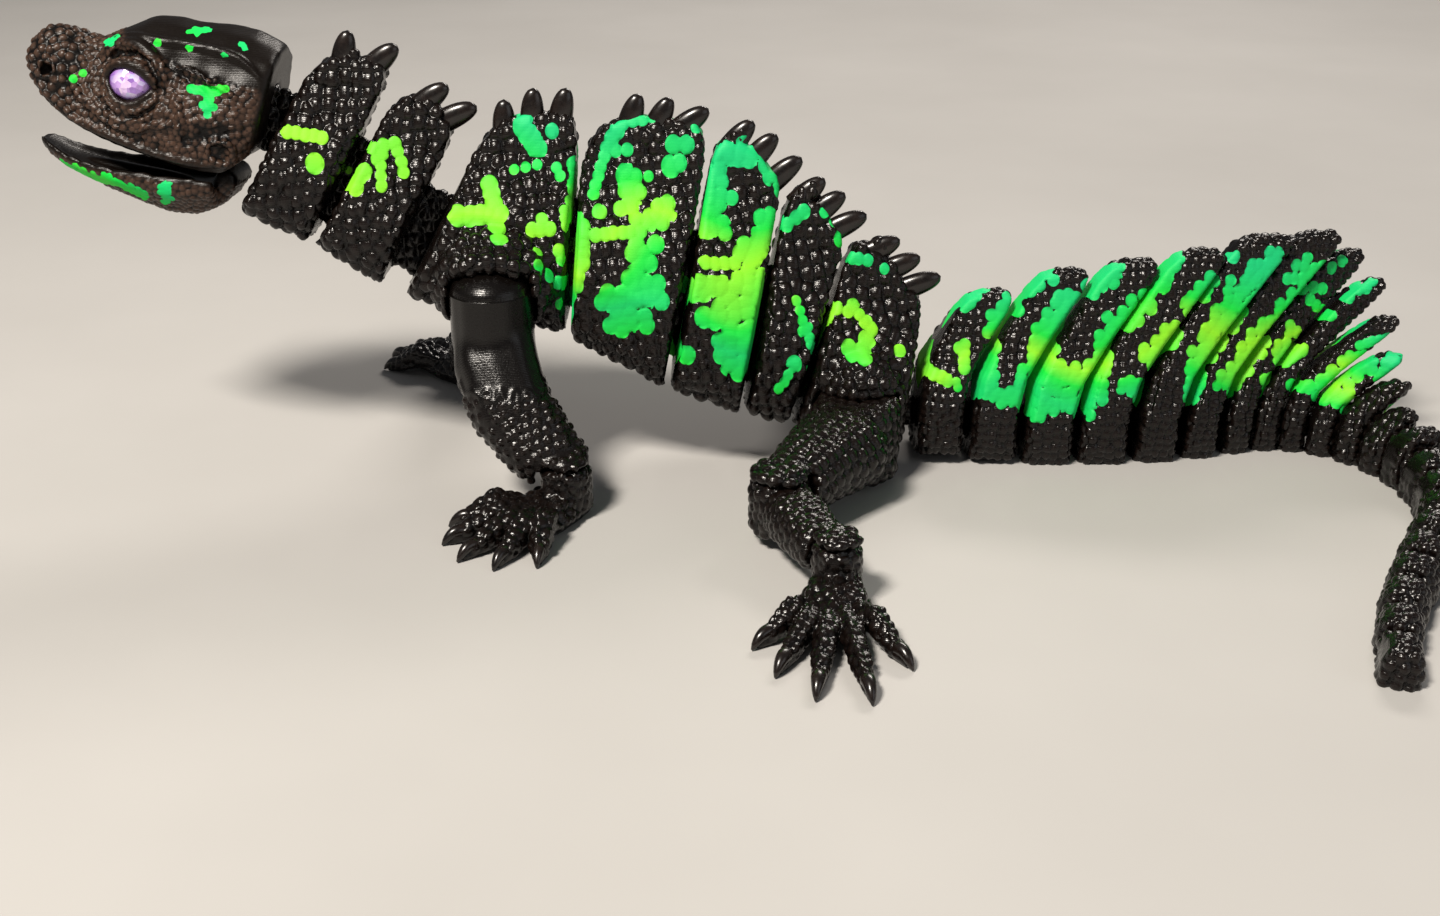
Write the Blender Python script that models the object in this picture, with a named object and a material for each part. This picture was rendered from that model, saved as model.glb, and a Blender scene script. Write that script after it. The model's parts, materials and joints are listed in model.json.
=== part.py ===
# A printed, jointed toy of a sailfin lizard: loose links that swing side to side on upright pins.
# Sizes and places are millimetres, with x towards the tail, y away from the left side and z up.
# They turn into metres when a mesh is made. The toy stands on z = 0.
import math
from collections import namedtuple

import bmesh
import bpy
from mathutils import Matrix, Vector

MM = 0.001
LEFT = -1
RIGHT = 1
UP = Vector((0.0, 0.0, 1.0))

# Clearances of the printed joints
PIN_CLEARANCE = 0.4
SOCKET_CLEARANCE = 0.9
SPINE_GAP = 1.0
FIN_GAP = 0.7
SWING_MARGIN = 0.5
WEB_SHARE = 0.3
EYE_GAP = 0.3

# The pins between neck and torso links: their middle and half height as shares of the link, and their root
KEY_MIDDLE = 0.31
KEY_HALF = 0.26
KEY_ROOT = 2.0

# Round parts
PIN_SIDES = 8
KEY_STEPS = 6
CROWN_STEPS = (0.0, 0.5, 0.82, 1.0)
TAIL_CROWN_STEPS = (0.0, 0.65, 1.0)
HEAD_SIDES = 12
LIMB_SIDES = 10
FINGER_SIDES = 5

# How far the links swing each way from a straight line, in degrees: the gaps of the tail leave room for
# TAIL_SWING, and TAIL_RANGE, which is less, keeps a tail that is curled up tight clear of the hips and fins
NECK_SWING = 8.0
TORSO_SWING = 4.0
TAIL_SWING = ((0, 12.0), (5, 13.0), (8, 20.0), (21, 22.0))
TAIL_RANGE = ((0, 5.0), (3, 5.0), (4, 8.0), (6, 8.0), (8, 18.0), (11, 18.0), (12, 14.0), (21, 16.0))

Edge = namedtuple("Edge", "foot top block lean")
Link = namedtuple("Link", "name front rear half_width fin_half block gap swing_front swing_rear crown")
Crown = namedtuple("Crown", "height front rear")
Joint = namedtuple("Joint", "name child parent place axis low high")

# Side view of the neck and torso: foot and top of the front edge, then of the rear edge
SIDE_VIEW = {
    "neck_1": ((-105.8, 61.5), (-86.5, 94.5), (-90.6, 54.8), (-70.8, 91.5)),
    "neck_2": ((-89.4, 54.2), (-69.4, 87.0), (-75.4, 44.8), (-57.2, 79.6)),
    "torso_1": ((-70.5, 43.0), (-49.6, 80.5), (-34.8, 34.5), (-31.0, 81.0)),
    "torso_2": ((-33.7, 34.0), (-29.6, 80.5), (-12.6, 22.0), (-1.8, 78.5)),
    "torso_3": ((-11.4, 21.5), (-0.6, 77.5), (4.6, 15.5), (14.2, 68.5)),
    "torso_4": ((5.7, 15.0), (15.4, 65.5), (15.8, 12.0), (29.0, 55.0)),
    "torso_5": ((17.0, 11.5), (30.3, 54.0), (42.8, 6.0), (46.6, 40.5)),
}
# The round corners of each link's top: how high they are, and how far they reach from the front and the rear
CROWN = {
    "neck_1": Crown(6.5, 7.0, 3.0),
    "neck_2": Crown(6.5, 6.5, 3.5),
    "torso_1": Crown(8.0, 7.0, 3.0),
    "torso_2": Crown(12.0, 10.0, 3.5),
    "torso_3": Crown(7.5, 5.5, 3.5),
    "torso_4": Crown(8.0, 5.5, 3.5),
    "torso_5": Crown(7.5, 5.5, 4.0),
}
HALF_WIDTH = {
    "neck_1": 12.0,
    "neck_2": 12.5,
    "torso_1": 15.5,
    "torso_2": 17.5,
    "torso_3": 17.0,
    "torso_4": 15.0,
    "torso_5": 14.0,
}
TORSO_FIN_HALF = 3.6
TORSO_BLOCK = 0.36

# Spines on the crest of a link: how many, where along its top they start and end, and how far they lean
SPINES = {
    "neck_1": (2, 0.38, 0.85, 10.0, 46.0),
    "neck_2": (2, 0.58, 0.94, 56.0, 68.0),
    "torso_1": (3, 0.11, 0.78, -3.0, 9.0),
    "torso_2": (3, 0.42, 0.82, 14.0, 52.0),
    "torso_3": (3, 0.24, 0.92, 37.0, 46.0),
    "torso_4": (3, 0.22, 0.86, 44.0, 60.0),
    "torso_5": (3, 0.28, 0.86, 60.0, 66.0),
}
SPINE_LENGTH = 7.8
SPINE_HALF_LENGTH = 2.8
SPINE_HALF_WIDTH = 1.8
SPINE_SINK = 2.4
SPINE_ROOT = 1.0

# The tail from the hips to the tip, each row a link number and a size there
TAIL_LINKS = 22
TAIL_FINS = 12
TAIL_START = 45.0
TAIL_FOOT = ((0, 3.0), (2, 0.0))
TAIL_PITCH = ((0, 12.4), (3, 13.2), (5, 10.2), (7, 8.0), (11, 8.2), (13, 10.0), (21, 10.6))
TAIL_HEIGHT = ((0, 40.0), (1, 45.0), (4, 52.0), (5, 51.5), (7, 40.0), (9, 26.0), (11, 16.0), (13, 12.5), (21, 8.0))
TAIL_BLOCK = ((0, 14.0), (5, 14.0), (9, 10.0), (12, 9.0), (21, 6.0))
TAIL_HALF_WIDTH = ((0, 10.8), (4, 10.0), (8, 7.6), (12, 6.2), (21, 3.8))
TAIL_FIN_HALF = ((0, 3.2), (8, 2.6), (12, 2.0))
TAIL_LEAN = ((0, 31.0), (4, 33.0), (7, 45.0), (19, 50.0))
TAIL_BEND = ((0, 0.0), (3, 0.0), (4, 6.0), (6, 4.0), (7, -10.0), (8, -17.0), (11, -17.0), (12, -12.0), (15, -14.0),
             (16, -8.0), (17, 0.0), (21, 6.0))
TAIL_CROWN = 4.5

# The head in its own view: u forwards from the corner of the mouth, v up from the line of the lips
HEAD_CORNER = Vector((-109.0, 0.0, 68.7))
HEAD_PITCH = 16.0
HEAD_ROLL = 5.0
LIP_LINE = ((-7, 9.0), (-4, 3.0), (0, 0.0), (22, 0.2), (28, 0.9), (33.5, 2.0), (38, 4.0), (42.5, 7.0), (46, 11.0))
CREST_LINE = ((-7, 29.6), (-2, 31.2), (4, 31.2), (10, 29.6), (19, 29.4), (22.5, 27.6), (28, 23.0), (31, 20.8), (41, 21.2),
              (44, 19.6), (46, 15.5))
LIP_HALF = ((-7, 10.5), (-3, 14.0), (4, 14.2), (12, 13.2), (20, 11.6), (30, 9.2), (38, 7.4), (43, 5.4), (46, 2.0))
CHEEK_HALF = ((-7, 13.0), (-2, 15.6), (8, 15.4), (20, 13.4), (30, 10.0), (38, 8.2), (43, 6.4), (46, 2.8))
CREST_HALF = ((-7, 9.6), (2, 10.4), (14, 10.4), (22, 8.8), (30, 5.2), (38, 5.0), (43, 3.6), (46, 1.6))
HEAD_STATIONS = (-7, -5, -1, 5, 11, 16, 21, 26, 31, 35, 39, 42.5, 45, 46)
EYE_PLACE = (20.9, 14.6)
EYE_HALF = (4.4, 2.5, 3.8)
EYE_DEPTH = 2.3
NOSTRIL_PLACE = (42.0, 11.0)
NOSTRIL_RADIUS = 1.1

JAW_HINGE = (-1.0, -1.6)
JAW_OPEN = 10.5
JAW_LOW = -8.0
JAW_HIGH = 9.0
JAW_DEPTH = ((-1, 5.6), (3, 8.6), (10, 9.0), (14, 8.2), (20, 6.4), (26.5, 4.8), (36, 3.4), (41, 2.4))
JAW_STATIONS = (0.4, 5, 11, 17, 23, 29, 34, 38, 40.6)
JAW_TIP = (30.0, 42.0)
JAW_RIM_DROP = 0.7
JAW_WALL = 1.6
BARREL_RADIUS = 2.6
BARREL_HALF = 8.0

# Fore legs. Places are for the left side, as (x, distance from the middle, z)
SHOULDER = (-50.0, 18.6, 46.0)
SHOULDER_RADIUS = 9.2
SHOULDER_DROP = 13.0
ARM_PATH = {
    LEFT: ((-50.0, 19.0, 40.0), (-49.0, 23.5, 31.0), (-45.5, 28.5, 22.0), (-39.0, 32.5, 14.8), (-33.5, 35.0, 10.8)),
    RIGHT: ((-50.0, 19.0, 40.0), (-52.5, 24.0, 31.0), (-56.0, 31.0, 22.0), (-60.5, 38.0, 14.8), (-65.0, 44.0, 10.8)),
}
ARM_HALF = ((8.4, 5.6), (9.4, 6.4), (9.2, 6.4), (8.2, 5.2), (6.4, 3.4))
WRIST_RADIUS = 5.6
HAND_HEADING = {LEFT: 227.0, RIGHT: 234.0}
HAND_HALF = 7.6
HAND_HEIGHT = 8.0
FINGER_RADIUS = 2.7
FINGERS = ((-46.0, 13.0, 7.0), (-20.0, 17.5, 5.0), (2.0, 19.5, 4.0), (24.0, 18.0, 5.0), (50.0, 13.5, 7.0))

# Hind legs
HIP = (31.0, 17.0, 15.0)
HIP_RADIUS = 9.6
HIP_DROP = 13.0
THIGH_PATH = {
    LEFT: ((31.0, 18.5, 10.5), (26.5, 28.0, 12.5), (19.5, 38.0, 12.0), (12.5, 48.5, 10.6)),
    RIGHT: ((31.0, 18.5, 10.5), (32.5, 28.5, 12.5), (36.0, 40.0, 12.0), (40.0, 52.0, 10.6)),
}
THIGH_HALF = ((7.6, 6.4), (11.2, 8.6), (8.8, 7.4), (6.2, 5.8))
KNEE_RADIUS = 6.4
SHANK_HEADING = {LEFT: -68.0, RIGHT: -106.0}
SHANK_LENGTH = 28.0
SHANK_HALF = ((5.4, 4.6), (6.6, 5.8), (5.6, 4.8), (4.6, 4.2))
ANKLE_RADIUS = 5.0
FOOT_HEADING = {LEFT: -96.0, RIGHT: -78.0}
FOOT_HALF = 7.4
FOOT_HEIGHT = 9.0
TOE_RADIUS = 2.3
TOES = ((-52.0, 13.0, 7.0), (-24.0, 20.0, 5.0), (-4.0, 26.0, 4.0), (16.0, 27.0, 4.0), (44.0, 17.0, 7.0))

FOREARM_TOP = 14.4
LEG_TOP = 17.4
SHANK_TOP = 15.2
PAW_LENGTH = 15.0
PLATE = 2.2
PIN_RADIUS = 1.7
LIMB_SWING = 14.0

COLOURS = {
    "black": (0.012, 0.011, 0.012, 1.0),
    "gem": (0.72, 0.60, 0.85, 1.0),
}
ROUGHNESS = {"black": 0.35, "gem": 0.15}

JOINTS = []


def along(rows, place):
    """The smooth value at a place between rows of (place, value)."""
    if place <= rows[0][0]:
        return rows[0][1]
    for (left, low), (right, high) in zip(rows, rows[1:]):
        if place <= right:
            share = (place - left) / (right - left)
            return low + (high - low) * share
    return rows[-1][1]


def ease(share):
    """A smooth step from 0 to 1."""
    share = min(max(share, 0.0), 1.0)
    return share * share * (3.0 - 2.0 * share)


def mix(low, high, share):
    return low + (high - low) * share


def side_place(place, side):
    """A place given for the left side, moved to the side that is asked for."""
    return Vector((place[0], place[1] * side, place[2]))


# Meshes and their joining

def closed_mesh(name, rings):
    """A mesh through rings of equal length, closed by a face at each end."""
    shape = bmesh.new()
    loops = [[shape.verts.new(point * MM) for point in ring] for ring in rings]
    for low, high in zip(loops, loops[1:]):
        count = len(low)
        for index in range(count):
            after = (index + 1) % count
            shape.faces.new((low[index], low[after], high[after], high[index]))
    shape.faces.new(list(reversed(loops[0])))
    shape.faces.new(loops[-1])
    bmesh.ops.triangulate(shape, faces=shape.faces[:])
    bmesh.ops.recalc_face_normals(shape, faces=shape.faces[:])
    mesh = bpy.data.meshes.new(name)
    shape.to_mesh(mesh)
    shape.free()
    return mesh


def new_object(name, mesh):
    item = bpy.data.objects.new(name, mesh)
    bpy.context.scene.collection.objects.link(item)
    return item


def solid(name, rings):
    return new_object(name, closed_mesh(name, rings))


def prism(name, outline, low, high, frame):
    """An upright solid on a plan outline, from one height of its frame to another."""
    rings = [[frame @ Vector((x, y, height)) for x, y in outline] for height in (low, high)]
    return solid(name, rings)


def turned(name, profile, frame, sides=PIN_SIDES):
    """A solid turned round the z axis of its frame, with a profile of (radius, height) from the bottom up."""
    rings = []
    for radius, height in profile:
        ring = []
        for index in range(sides):
            angle = 2.0 * math.pi * index / sides
            ring.append(frame @ Vector((radius * math.cos(angle), radius * math.sin(angle), height)))
        rings.append(ring)
    return solid(name, rings)


def tube_ring(name, inner, outer, low, high, frame, sides=HEAD_SIDES):
    """A ring of square section round the z axis of its frame."""
    shape = bmesh.new()
    corners = ((inner, low), (outer, low), (outer, high), (inner, high))
    loops = []
    for index in range(sides):
        angle = 2.0 * math.pi * index / sides
        points = [Vector((radius * math.cos(angle), radius * math.sin(angle), height)) for radius, height in corners]
        loops.append([shape.verts.new((frame @ point) * MM) for point in points])
    for index, loop in enumerate(loops):
        following = loops[(index + 1) % sides]
        for corner in range(4):
            after = (corner + 1) % 4
            shape.faces.new((loop[corner], following[corner], following[after], loop[after]))
    bmesh.ops.triangulate(shape, faces=shape.faces[:])
    bmesh.ops.recalc_face_normals(shape, faces=shape.faces[:])
    mesh = bpy.data.meshes.new(name)
    shape.to_mesh(mesh)
    shape.free()
    return new_object(name, mesh)


def ellipsoid(name, centre, halves, frame, detail=2):
    shape = bmesh.new()
    bmesh.ops.create_icosphere(shape, subdivisions=detail, radius=1.0)
    for point in shape.verts:
        local = Vector((point.co.x * halves[0], point.co.y * halves[1], point.co.z * halves[2]))
        point.co = (frame @ (Vector(centre) + local)) * MM
    bmesh.ops.recalc_face_normals(shape, faces=shape.faces[:])
    mesh = bpy.data.meshes.new(name)
    shape.to_mesh(mesh)
    shape.free()
    return new_object(name, mesh)


def apply_boolean(item, operation, tools):
    """One Boolean of an object with a collection of closed objects, applied, with the tools then removed."""
    if not tools:
        return
    group = bpy.data.collections.new("tools")
    bpy.context.scene.collection.children.link(group)
    for tool in tools:
        bpy.context.scene.collection.objects.unlink(tool)
        group.objects.link(tool)
    step = item.modifiers.new("join", "BOOLEAN")
    step.operation = operation
    step.operand_type = "COLLECTION"
    step.collection = group
    step.solver = "EXACT"
    bpy.context.view_layer.update()
    result = bpy.data.meshes.new_from_object(item.evaluated_get(bpy.context.evaluated_depsgraph_get()))
    item.modifiers.clear()
    item.data = result
    for tool in tools:
        bpy.data.objects.remove(tool)
    bpy.data.collections.remove(group)


def keep_largest(item):
    """Keeps the largest closed surface of an object and makes its faces triangles that point out."""
    shape = bmesh.new()
    shape.from_mesh(item.data)
    bmesh.ops.remove_doubles(shape, verts=shape.verts[:], dist=0.000002)
    bmesh.ops.triangulate(shape, faces=shape.faces[:])
    left = set(shape.faces)
    bodies = []
    while left:
        body = set()
        queue = [left.pop()]
        while queue:
            face = queue.pop()
            body.add(face)
            for edge in face.edges:
                for other in edge.link_faces:
                    if other in left:
                        left.remove(other)
                        queue.append(other)
        bodies.append(body)
    bodies.sort(key=lambda body: sum(face.calc_area() for face in body))
    for body in bodies[:-1]:
        bmesh.ops.delete(shape, geom=list(body), context="FACES")
    bmesh.ops.delete(shape, geom=[point for point in shape.verts if not point.link_faces], context="VERTS")
    bmesh.ops.recalc_face_normals(shape, faces=shape.faces[:])
    shape.to_mesh(item.data)
    shape.free()


def paint(item, colour):
    name = f"{item.name}_{colour}"
    material = bpy.data.materials.new(name)
    material.use_nodes = True
    shader = material.node_tree.nodes["Principled BSDF"]
    shader.inputs["Base Color"].default_value = COLOURS[colour]
    shader.inputs["Roughness"].default_value = ROUGHNESS[colour]
    shader.inputs["Metallic"].default_value = 0.0
    item.data.materials.clear()
    item.data.materials.append(material)


def finish(item, name, place, colour="black"):
    """Names a finished node, and puts its origin on the joint that it swings on."""
    keep_largest(item)
    item.name = name
    item.data.name = name
    item.data.transform(Matrix.Translation(-place * MM))
    item.location = place * MM
    item.data.shade_smooth()
    item.data.set_sharp_from_angle(angle=math.radians(40.0))
    paint(item, colour)
    return item


# Links of the spine

def edge_place(edge, share):
    """The place of a link's edge at a share of its height, straight or swept back above its block."""
    foot_x, foot_z = edge.foot
    top_x, top_z = edge.top
    if edge.lean is None:
        return mix(foot_x, top_x, share), mix(foot_z, top_z, share)
    height = mix(foot_z, top_z, share)
    above = max(0.0, height - foot_z - edge.block)
    settle = 4.0
    sweep = above - settle * (1.0 - math.exp(-above / settle))
    return foot_x + math.tan(math.radians(edge.lean)) * sweep, height


def link_half_width(link, share):
    """Half the width of a link: upright over its block, then drawn in to a thin fin."""
    foot = mix(0.84, 1.0, ease(share / 0.10))
    fin = link.fin_half / link.half_width
    drawn = mix(1.0, fin, ease((share - link.block) / (0.86 - link.block)))
    return link.half_width * foot * drawn


def wedge(out, swing, gap):
    """How far an end face is drawn back at a distance from the middle, so that a swinging neighbour clears it."""
    return max(0.0, out * math.sin(math.radians(swing / 2.0)) - (gap - SWING_MARGIN) / 2.0)


def link_rings(link, frame):
    """Level rings of ten points from the foot of a link to its rounded top."""
    crown_start = 1.0 - link.crown.height / (link.front.top[1] - link.front.foot[1])
    shares = [0.0, 0.08, link.block * 0.9, link.block + 0.16, link.block + 0.32]
    shares = [share for share in shares if share < crown_start - 0.06]
    steps = CROWN_STEPS if link.name in CROWN else TAIL_CROWN_STEPS
    shares += [mix(crown_start, 1.0, step) for step in steps]
    rings = []
    for share in shares:
        front = Vector(edge_place(link.front, share))
        rear = Vector(edge_place(link.rear, share))
        past = max(0.0, (share - crown_start) / (1.0 - crown_start))
        curl = math.sqrt(max(0.0, 1.0 - past ** 2))
        full = (rear - front).length
        front, rear = (
            front.lerp(rear, link.crown.front * (1.0 - curl) / full),
            rear.lerp(front, link.crown.rear * (1.0 - curl) / full),
        )
        half = link_half_width(link, share) * mix(0.45, 1.0, curl)
        inner = half * 0.8
        corner = min(1.0, half * 0.25)
        length = (rear - front).length
        plan = []
        for side in (LEFT, RIGHT):
            rows = (
                (wedge(inner, link.swing_front, link.gap), inner),
                (wedge(half, link.swing_front, link.gap) + corner, half),
                (length - wedge(half, link.swing_rear, link.gap) - corner, half),
                (length - wedge(inner, link.swing_rear, link.gap), inner),
            )
            points = []
            for reach, out in rows:
                spot = front.lerp(rear, reach / length)
                points.append(Vector((spot.x, out * side, spot.y)))
            plan.append(points)
        left, right = plan
        ring = [Vector((front.x, 0.0, front.y))] + left
        ring += [Vector((rear.x, 0.0, rear.y))] + list(reversed(right))
        rings.append([frame @ point for point in ring])
    return rings


def key_outline(radius, web_half, reach, spread=0.0):
    """Plan of a pin with a web that runs back from it, or of the slot that takes them."""
    start = math.asin((web_half + spread * radius * 0.8) / radius)
    points = []
    for index in range(KEY_STEPS + 1):
        angle = start + (2.0 * math.pi - 2.0 * start) * index / KEY_STEPS
        points.append((radius * math.cos(angle), radius * math.sin(angle)))
    points.append((reach, -web_half - spread * reach))
    points.append((reach, web_half + spread * reach))
    return points


def axis_frame(place, lean, heading=0.0):
    """A frame at a joint whose z axis is the joint's axis, leaning back by an angle."""
    turn = Matrix.Rotation(math.radians(heading), 4, "Z")
    return Matrix.Translation(place) @ turn @ Matrix.Rotation(math.radians(lean), 4, "Y")


def add_key(frame, radius, half_height, reach):
    """The pin and web at the front of a link."""
    return prism("key", key_outline(radius, radius * WEB_SHARE, reach), -half_height, half_height, frame)


def cut_key(frame, radius, half_height, reach, swing):
    """The slot at the rear of a link, wide enough for the pin's web to swing."""
    outline = key_outline(
        (radius + PIN_CLEARANCE) / math.cos(math.pi / KEY_STEPS * 0.85),
        radius * WEB_SHARE + PIN_CLEARANCE / 2.0,
        reach,
        math.tan(math.radians(swing + 2.0)),
    )
    height = half_height + PIN_CLEARANCE
    return prism("slot", outline, -height, height, frame)


def spine_cone(base, lean, frame):
    """One flattened, blunt spine of the crest, sunk in the link that it grows from."""
    direction = Vector((math.sin(math.radians(lean)), 0.0, math.cos(math.radians(lean))))
    across = Vector((direction.z, 0.0, -direction.x))
    sizes = ((-SPINE_SINK, 1.0), (SPINE_LENGTH * 0.52, 0.94), (SPINE_LENGTH, 0.34))
    rings = []
    for reach, scale in sizes:
        ring = []
        for index in range(5):
            angle = 2.0 * math.pi * index / 5
            width = across * (math.cos(angle) * SPINE_HALF_LENGTH * scale)
            depth = Vector((0.0, math.sin(angle) * SPINE_HALF_WIDTH * scale, 0.0))
            ring.append(frame @ (base + direction * reach + width + depth))
        rings.append(ring)
    return solid("spine", rings)


def crown_drop(crown, length, along_top):
    """How far below its corners' level the round top of a link lies, at a share of its length."""
    past_front = max(0.0, 1.0 - along_top * length / crown.front)
    past_rear = max(0.0, 1.0 - (1.0 - along_top) * length / crown.rear)
    past = min(1.0, max(past_front, past_rear))
    return crown.height * (1.0 - math.sqrt(1.0 - past ** 2))


def crest_spines(link, frame):
    """The row of spines along the top of a link."""
    count, start, end, lean_start, lean_end = SPINES[link.name]
    front = Vector(link.front.top)
    rear = Vector(link.rear.top)
    spines = []
    for index in range(count):
        share = index / (count - 1)
        along_top = mix(start, end, share)
        spot = front.lerp(rear, along_top)
        drop = SPINE_ROOT + crown_drop(link.crown, (rear - front).length, along_top)
        base = Vector((spot.x, 0.0, spot.y - drop))
        spines.append(spine_cone(base, mix(lean_start, lean_end, share ** 2), frame))
    return spines


def spine_link(name):
    """The outline of one neck or torso link."""
    front_foot, front_top, rear_foot, rear_top = SIDE_VIEW[name]
    swing_front = NECK_SWING if name in ("neck_1", "neck_2", "torso_1") else TORSO_SWING
    swing_rear = NECK_SWING if name in ("neck_1", "neck_2") else TORSO_SWING
    if name == "torso_5":
        swing_rear = along(TAIL_SWING, 0)
    front = Edge(front_foot, front_top, 0.0, None)
    rear = Edge(rear_foot, rear_top, 0.0, None)
    return Link(name, front, rear, HALF_WIDTH[name], TORSO_FIN_HALF, TORSO_BLOCK, SPINE_GAP, swing_front,
                swing_rear, CROWN[name])


def tail_pivot_depth(index):
    """How far the pin of a tail link reaches into the link ahead."""
    return 0.26 * along(TAIL_PITCH, index)


def tail_link(index):
    """The outline of one tail link, in a frame with its origin on the link's front joint."""
    foot = along(TAIL_FOOT, index)
    top = along(TAIL_HEIGHT, index)
    block = min(along(TAIL_BLOCK, index), top - foot - 1.0)
    lean = along(TAIL_LEAN, index)
    depth = tail_pivot_depth(index)
    front_x = depth + FIN_GAP / 2.0
    if index + 1 < TAIL_LINKS:
        rear_x = along(TAIL_PITCH, index) + tail_pivot_depth(index + 1) - FIN_GAP / 2.0
    else:
        rear_x = along(TAIL_PITCH, index) + depth
    front = Edge((front_x, foot), (front_x, top), block, lean)
    rear = Edge((rear_x, foot), (rear_x, top), block, along(TAIL_LEAN, index + 1))
    swing_front = along(TAIL_SWING, index)
    swing_rear = along(TAIL_SWING, index + 1)
    has_fin = index < TAIL_FINS
    fin_half = along(TAIL_FIN_HALF, index) if has_fin else along(TAIL_HALF_WIDTH, index) * 0.8
    block_share = block / (top - foot) if has_fin else 0.55
    corner = 0.3 * (rear_x - front_x)
    crown = Crown(min(0.4 * (top - foot), TAIL_CROWN), corner, corner)
    name = f"tail_{index + 1:02d}"
    return Link(name, front, rear, along(TAIL_HALF_WIDTH, index), fin_half, block_share * 0.9, FIN_GAP, swing_front,
                swing_rear, crown)


def key_radius(front_length, rear_length):
    """The radius of the pin between two links of these lengths."""
    return min(3.6, 0.19 * min(front_length, rear_length))


# Limbs

def tube(name, centres, halves, width_way=None):
    """A limb through centres, with two half sizes at each: its width, level or as near as can be to a way that
    is asked for, and its depth."""
    rings = []
    for index, centre in enumerate(centres):
        before = centres[max(0, index - 1)]
        after = centres[min(len(centres) - 1, index + 1)]
        direction = (after - before).normalized()
        across = width_way - direction * width_way.dot(direction) if width_way else direction.cross(UP)
        across.normalize()
        rise = across.cross(direction).normalized()
        half_across, half_rise = halves[index]
        ring = []
        for step in range(LIMB_SIDES):
            angle = 2.0 * math.pi * (step + 0.5) / LIMB_SIDES
            square = 1.0 / max(abs(math.cos(angle)), abs(math.sin(angle))) ** 0.35
            reach = across * (math.cos(angle) * half_across * square)
            reach += rise * (math.sin(angle) * half_rise * square)
            ring.append(centre + reach)
        rings.append(ring)
    return solid(name, rings)


def digit(start, heading, length, lift, radius):
    """One finger or toe that arches to the floor, ending in a blunt claw."""
    direction = Vector((math.cos(math.radians(heading)), math.sin(math.radians(heading)), 0.0))
    rows = (
        (-3.0 / length, 1.05, 0.0),
        (0.32, 1.10, 1.0),
        (0.74, 0.84, 0.0),
        (1.0, 0.30, -0.35),
    )
    rings = []
    side = Vector((-direction.y, direction.x, 0.0))
    for reach, scale, rise in rows:
        size = radius * scale
        centre = start + direction * (length * reach)
        centre.z = max(size, radius + rise * lift * 0.35)
        if rise <= 0.0 and reach > 0.5:
            centre.z = size
        ring = []
        for step in range(FINGER_SIDES):
            angle = 2.0 * math.pi * step / FINGER_SIDES + math.pi / FINGER_SIDES
            flat = math.cos(math.pi / FINGER_SIDES)
            ring.append(centre + side * (math.cos(angle) * size) + UP * (math.sin(angle) * size / flat))
        rings.append(ring)
    for ring in rings:
        for point in ring:
            point.z = max(point.z, 0.0)
    return solid("digit", rings)


def paw(wrist, heading, length, digits, digit_radius, half, height):
    """The palm and its digits, flat on the floor."""
    forward = Vector((math.cos(math.radians(heading)), math.sin(math.radians(heading)), 0.0))
    side = Vector((-forward.y, forward.x, 0.0))
    rings = []
    for reach, width, top in ((-0.27, 0.48, 0.96), (0.0, 0.72, 1.0), (0.45, 1.0, 0.86), (0.85, 1.02, 0.62),
                              (1.08, 0.70, 0.42)):
        centre = wrist + forward * (reach * length)
        centre.z = 0.0
        ring = []
        for out, rise in ((-0.8, 0.0), (0.8, 0.0), (1.0, 0.35), (0.72, 0.85), (0.0, 1.0), (-0.72, 0.85),
                          (-1.0, 0.35)):
            ring.append(centre + side * (out * width * half) + UP * (rise * top * height))
        rings.append(ring)
    palm = solid("palm", rings)
    pieces = []
    for turn, reach, spread in digits:
        start = wrist + forward * (length * 0.72) + side * (math.sin(math.radians(turn)) * half * 0.92)
        start.z = 0.0
        pieces.append(digit(start, heading + turn * 0.8, reach, spread, digit_radius))
    return palm, pieces


def joint_socket(place, radius, low, high):
    """What a limb's end is cut by: a ring round the pin, open below."""
    frame = Matrix.Translation(Vector((place.x, place.y, 0.0)))
    return tube_ring("socket", PIN_RADIUS, radius + SOCKET_CLEARANCE, low, high, frame)


def joint_head(place, radius, low, high):
    """The round head of a limb that turns in a socket, chamfered at its top."""
    frame = Matrix.Translation(Vector((place.x, place.y, 0.0)))
    edge = 1.2
    profile = ((radius, low), (radius, high - edge), (radius - edge, high))
    return turned("head", profile, frame, HEAD_SIDES)


def pin_hole(place, low, high):
    frame = Matrix.Translation(Vector((place.x, place.y, 0.0)))
    return turned("hole", ((PIN_RADIUS + PIN_CLEARANCE, low), (PIN_RADIUS + PIN_CLEARANCE, high)), frame)


def add_joint(name, child, parent, place, axis, low, high):
    JOINTS.append(Joint(name, child, parent, place.copy(), axis.normalized(), low, high))


# The pieces

def head_frame():
    """From the head's own (u, y, v) to the toy's frame: pitched up, and rolled a little to its left."""
    turn = Matrix.Rotation(math.radians(HEAD_PITCH), 4, "Y") @ Matrix.Rotation(math.radians(-HEAD_ROLL), 4, "X")
    flip = Matrix(((-1, 0, 0, 0), (0, 1, 0, 0), (0, 0, 1, 0), (0, 0, 0, 1)))
    return Matrix.Translation(HEAD_CORNER) @ turn @ flip


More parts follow.
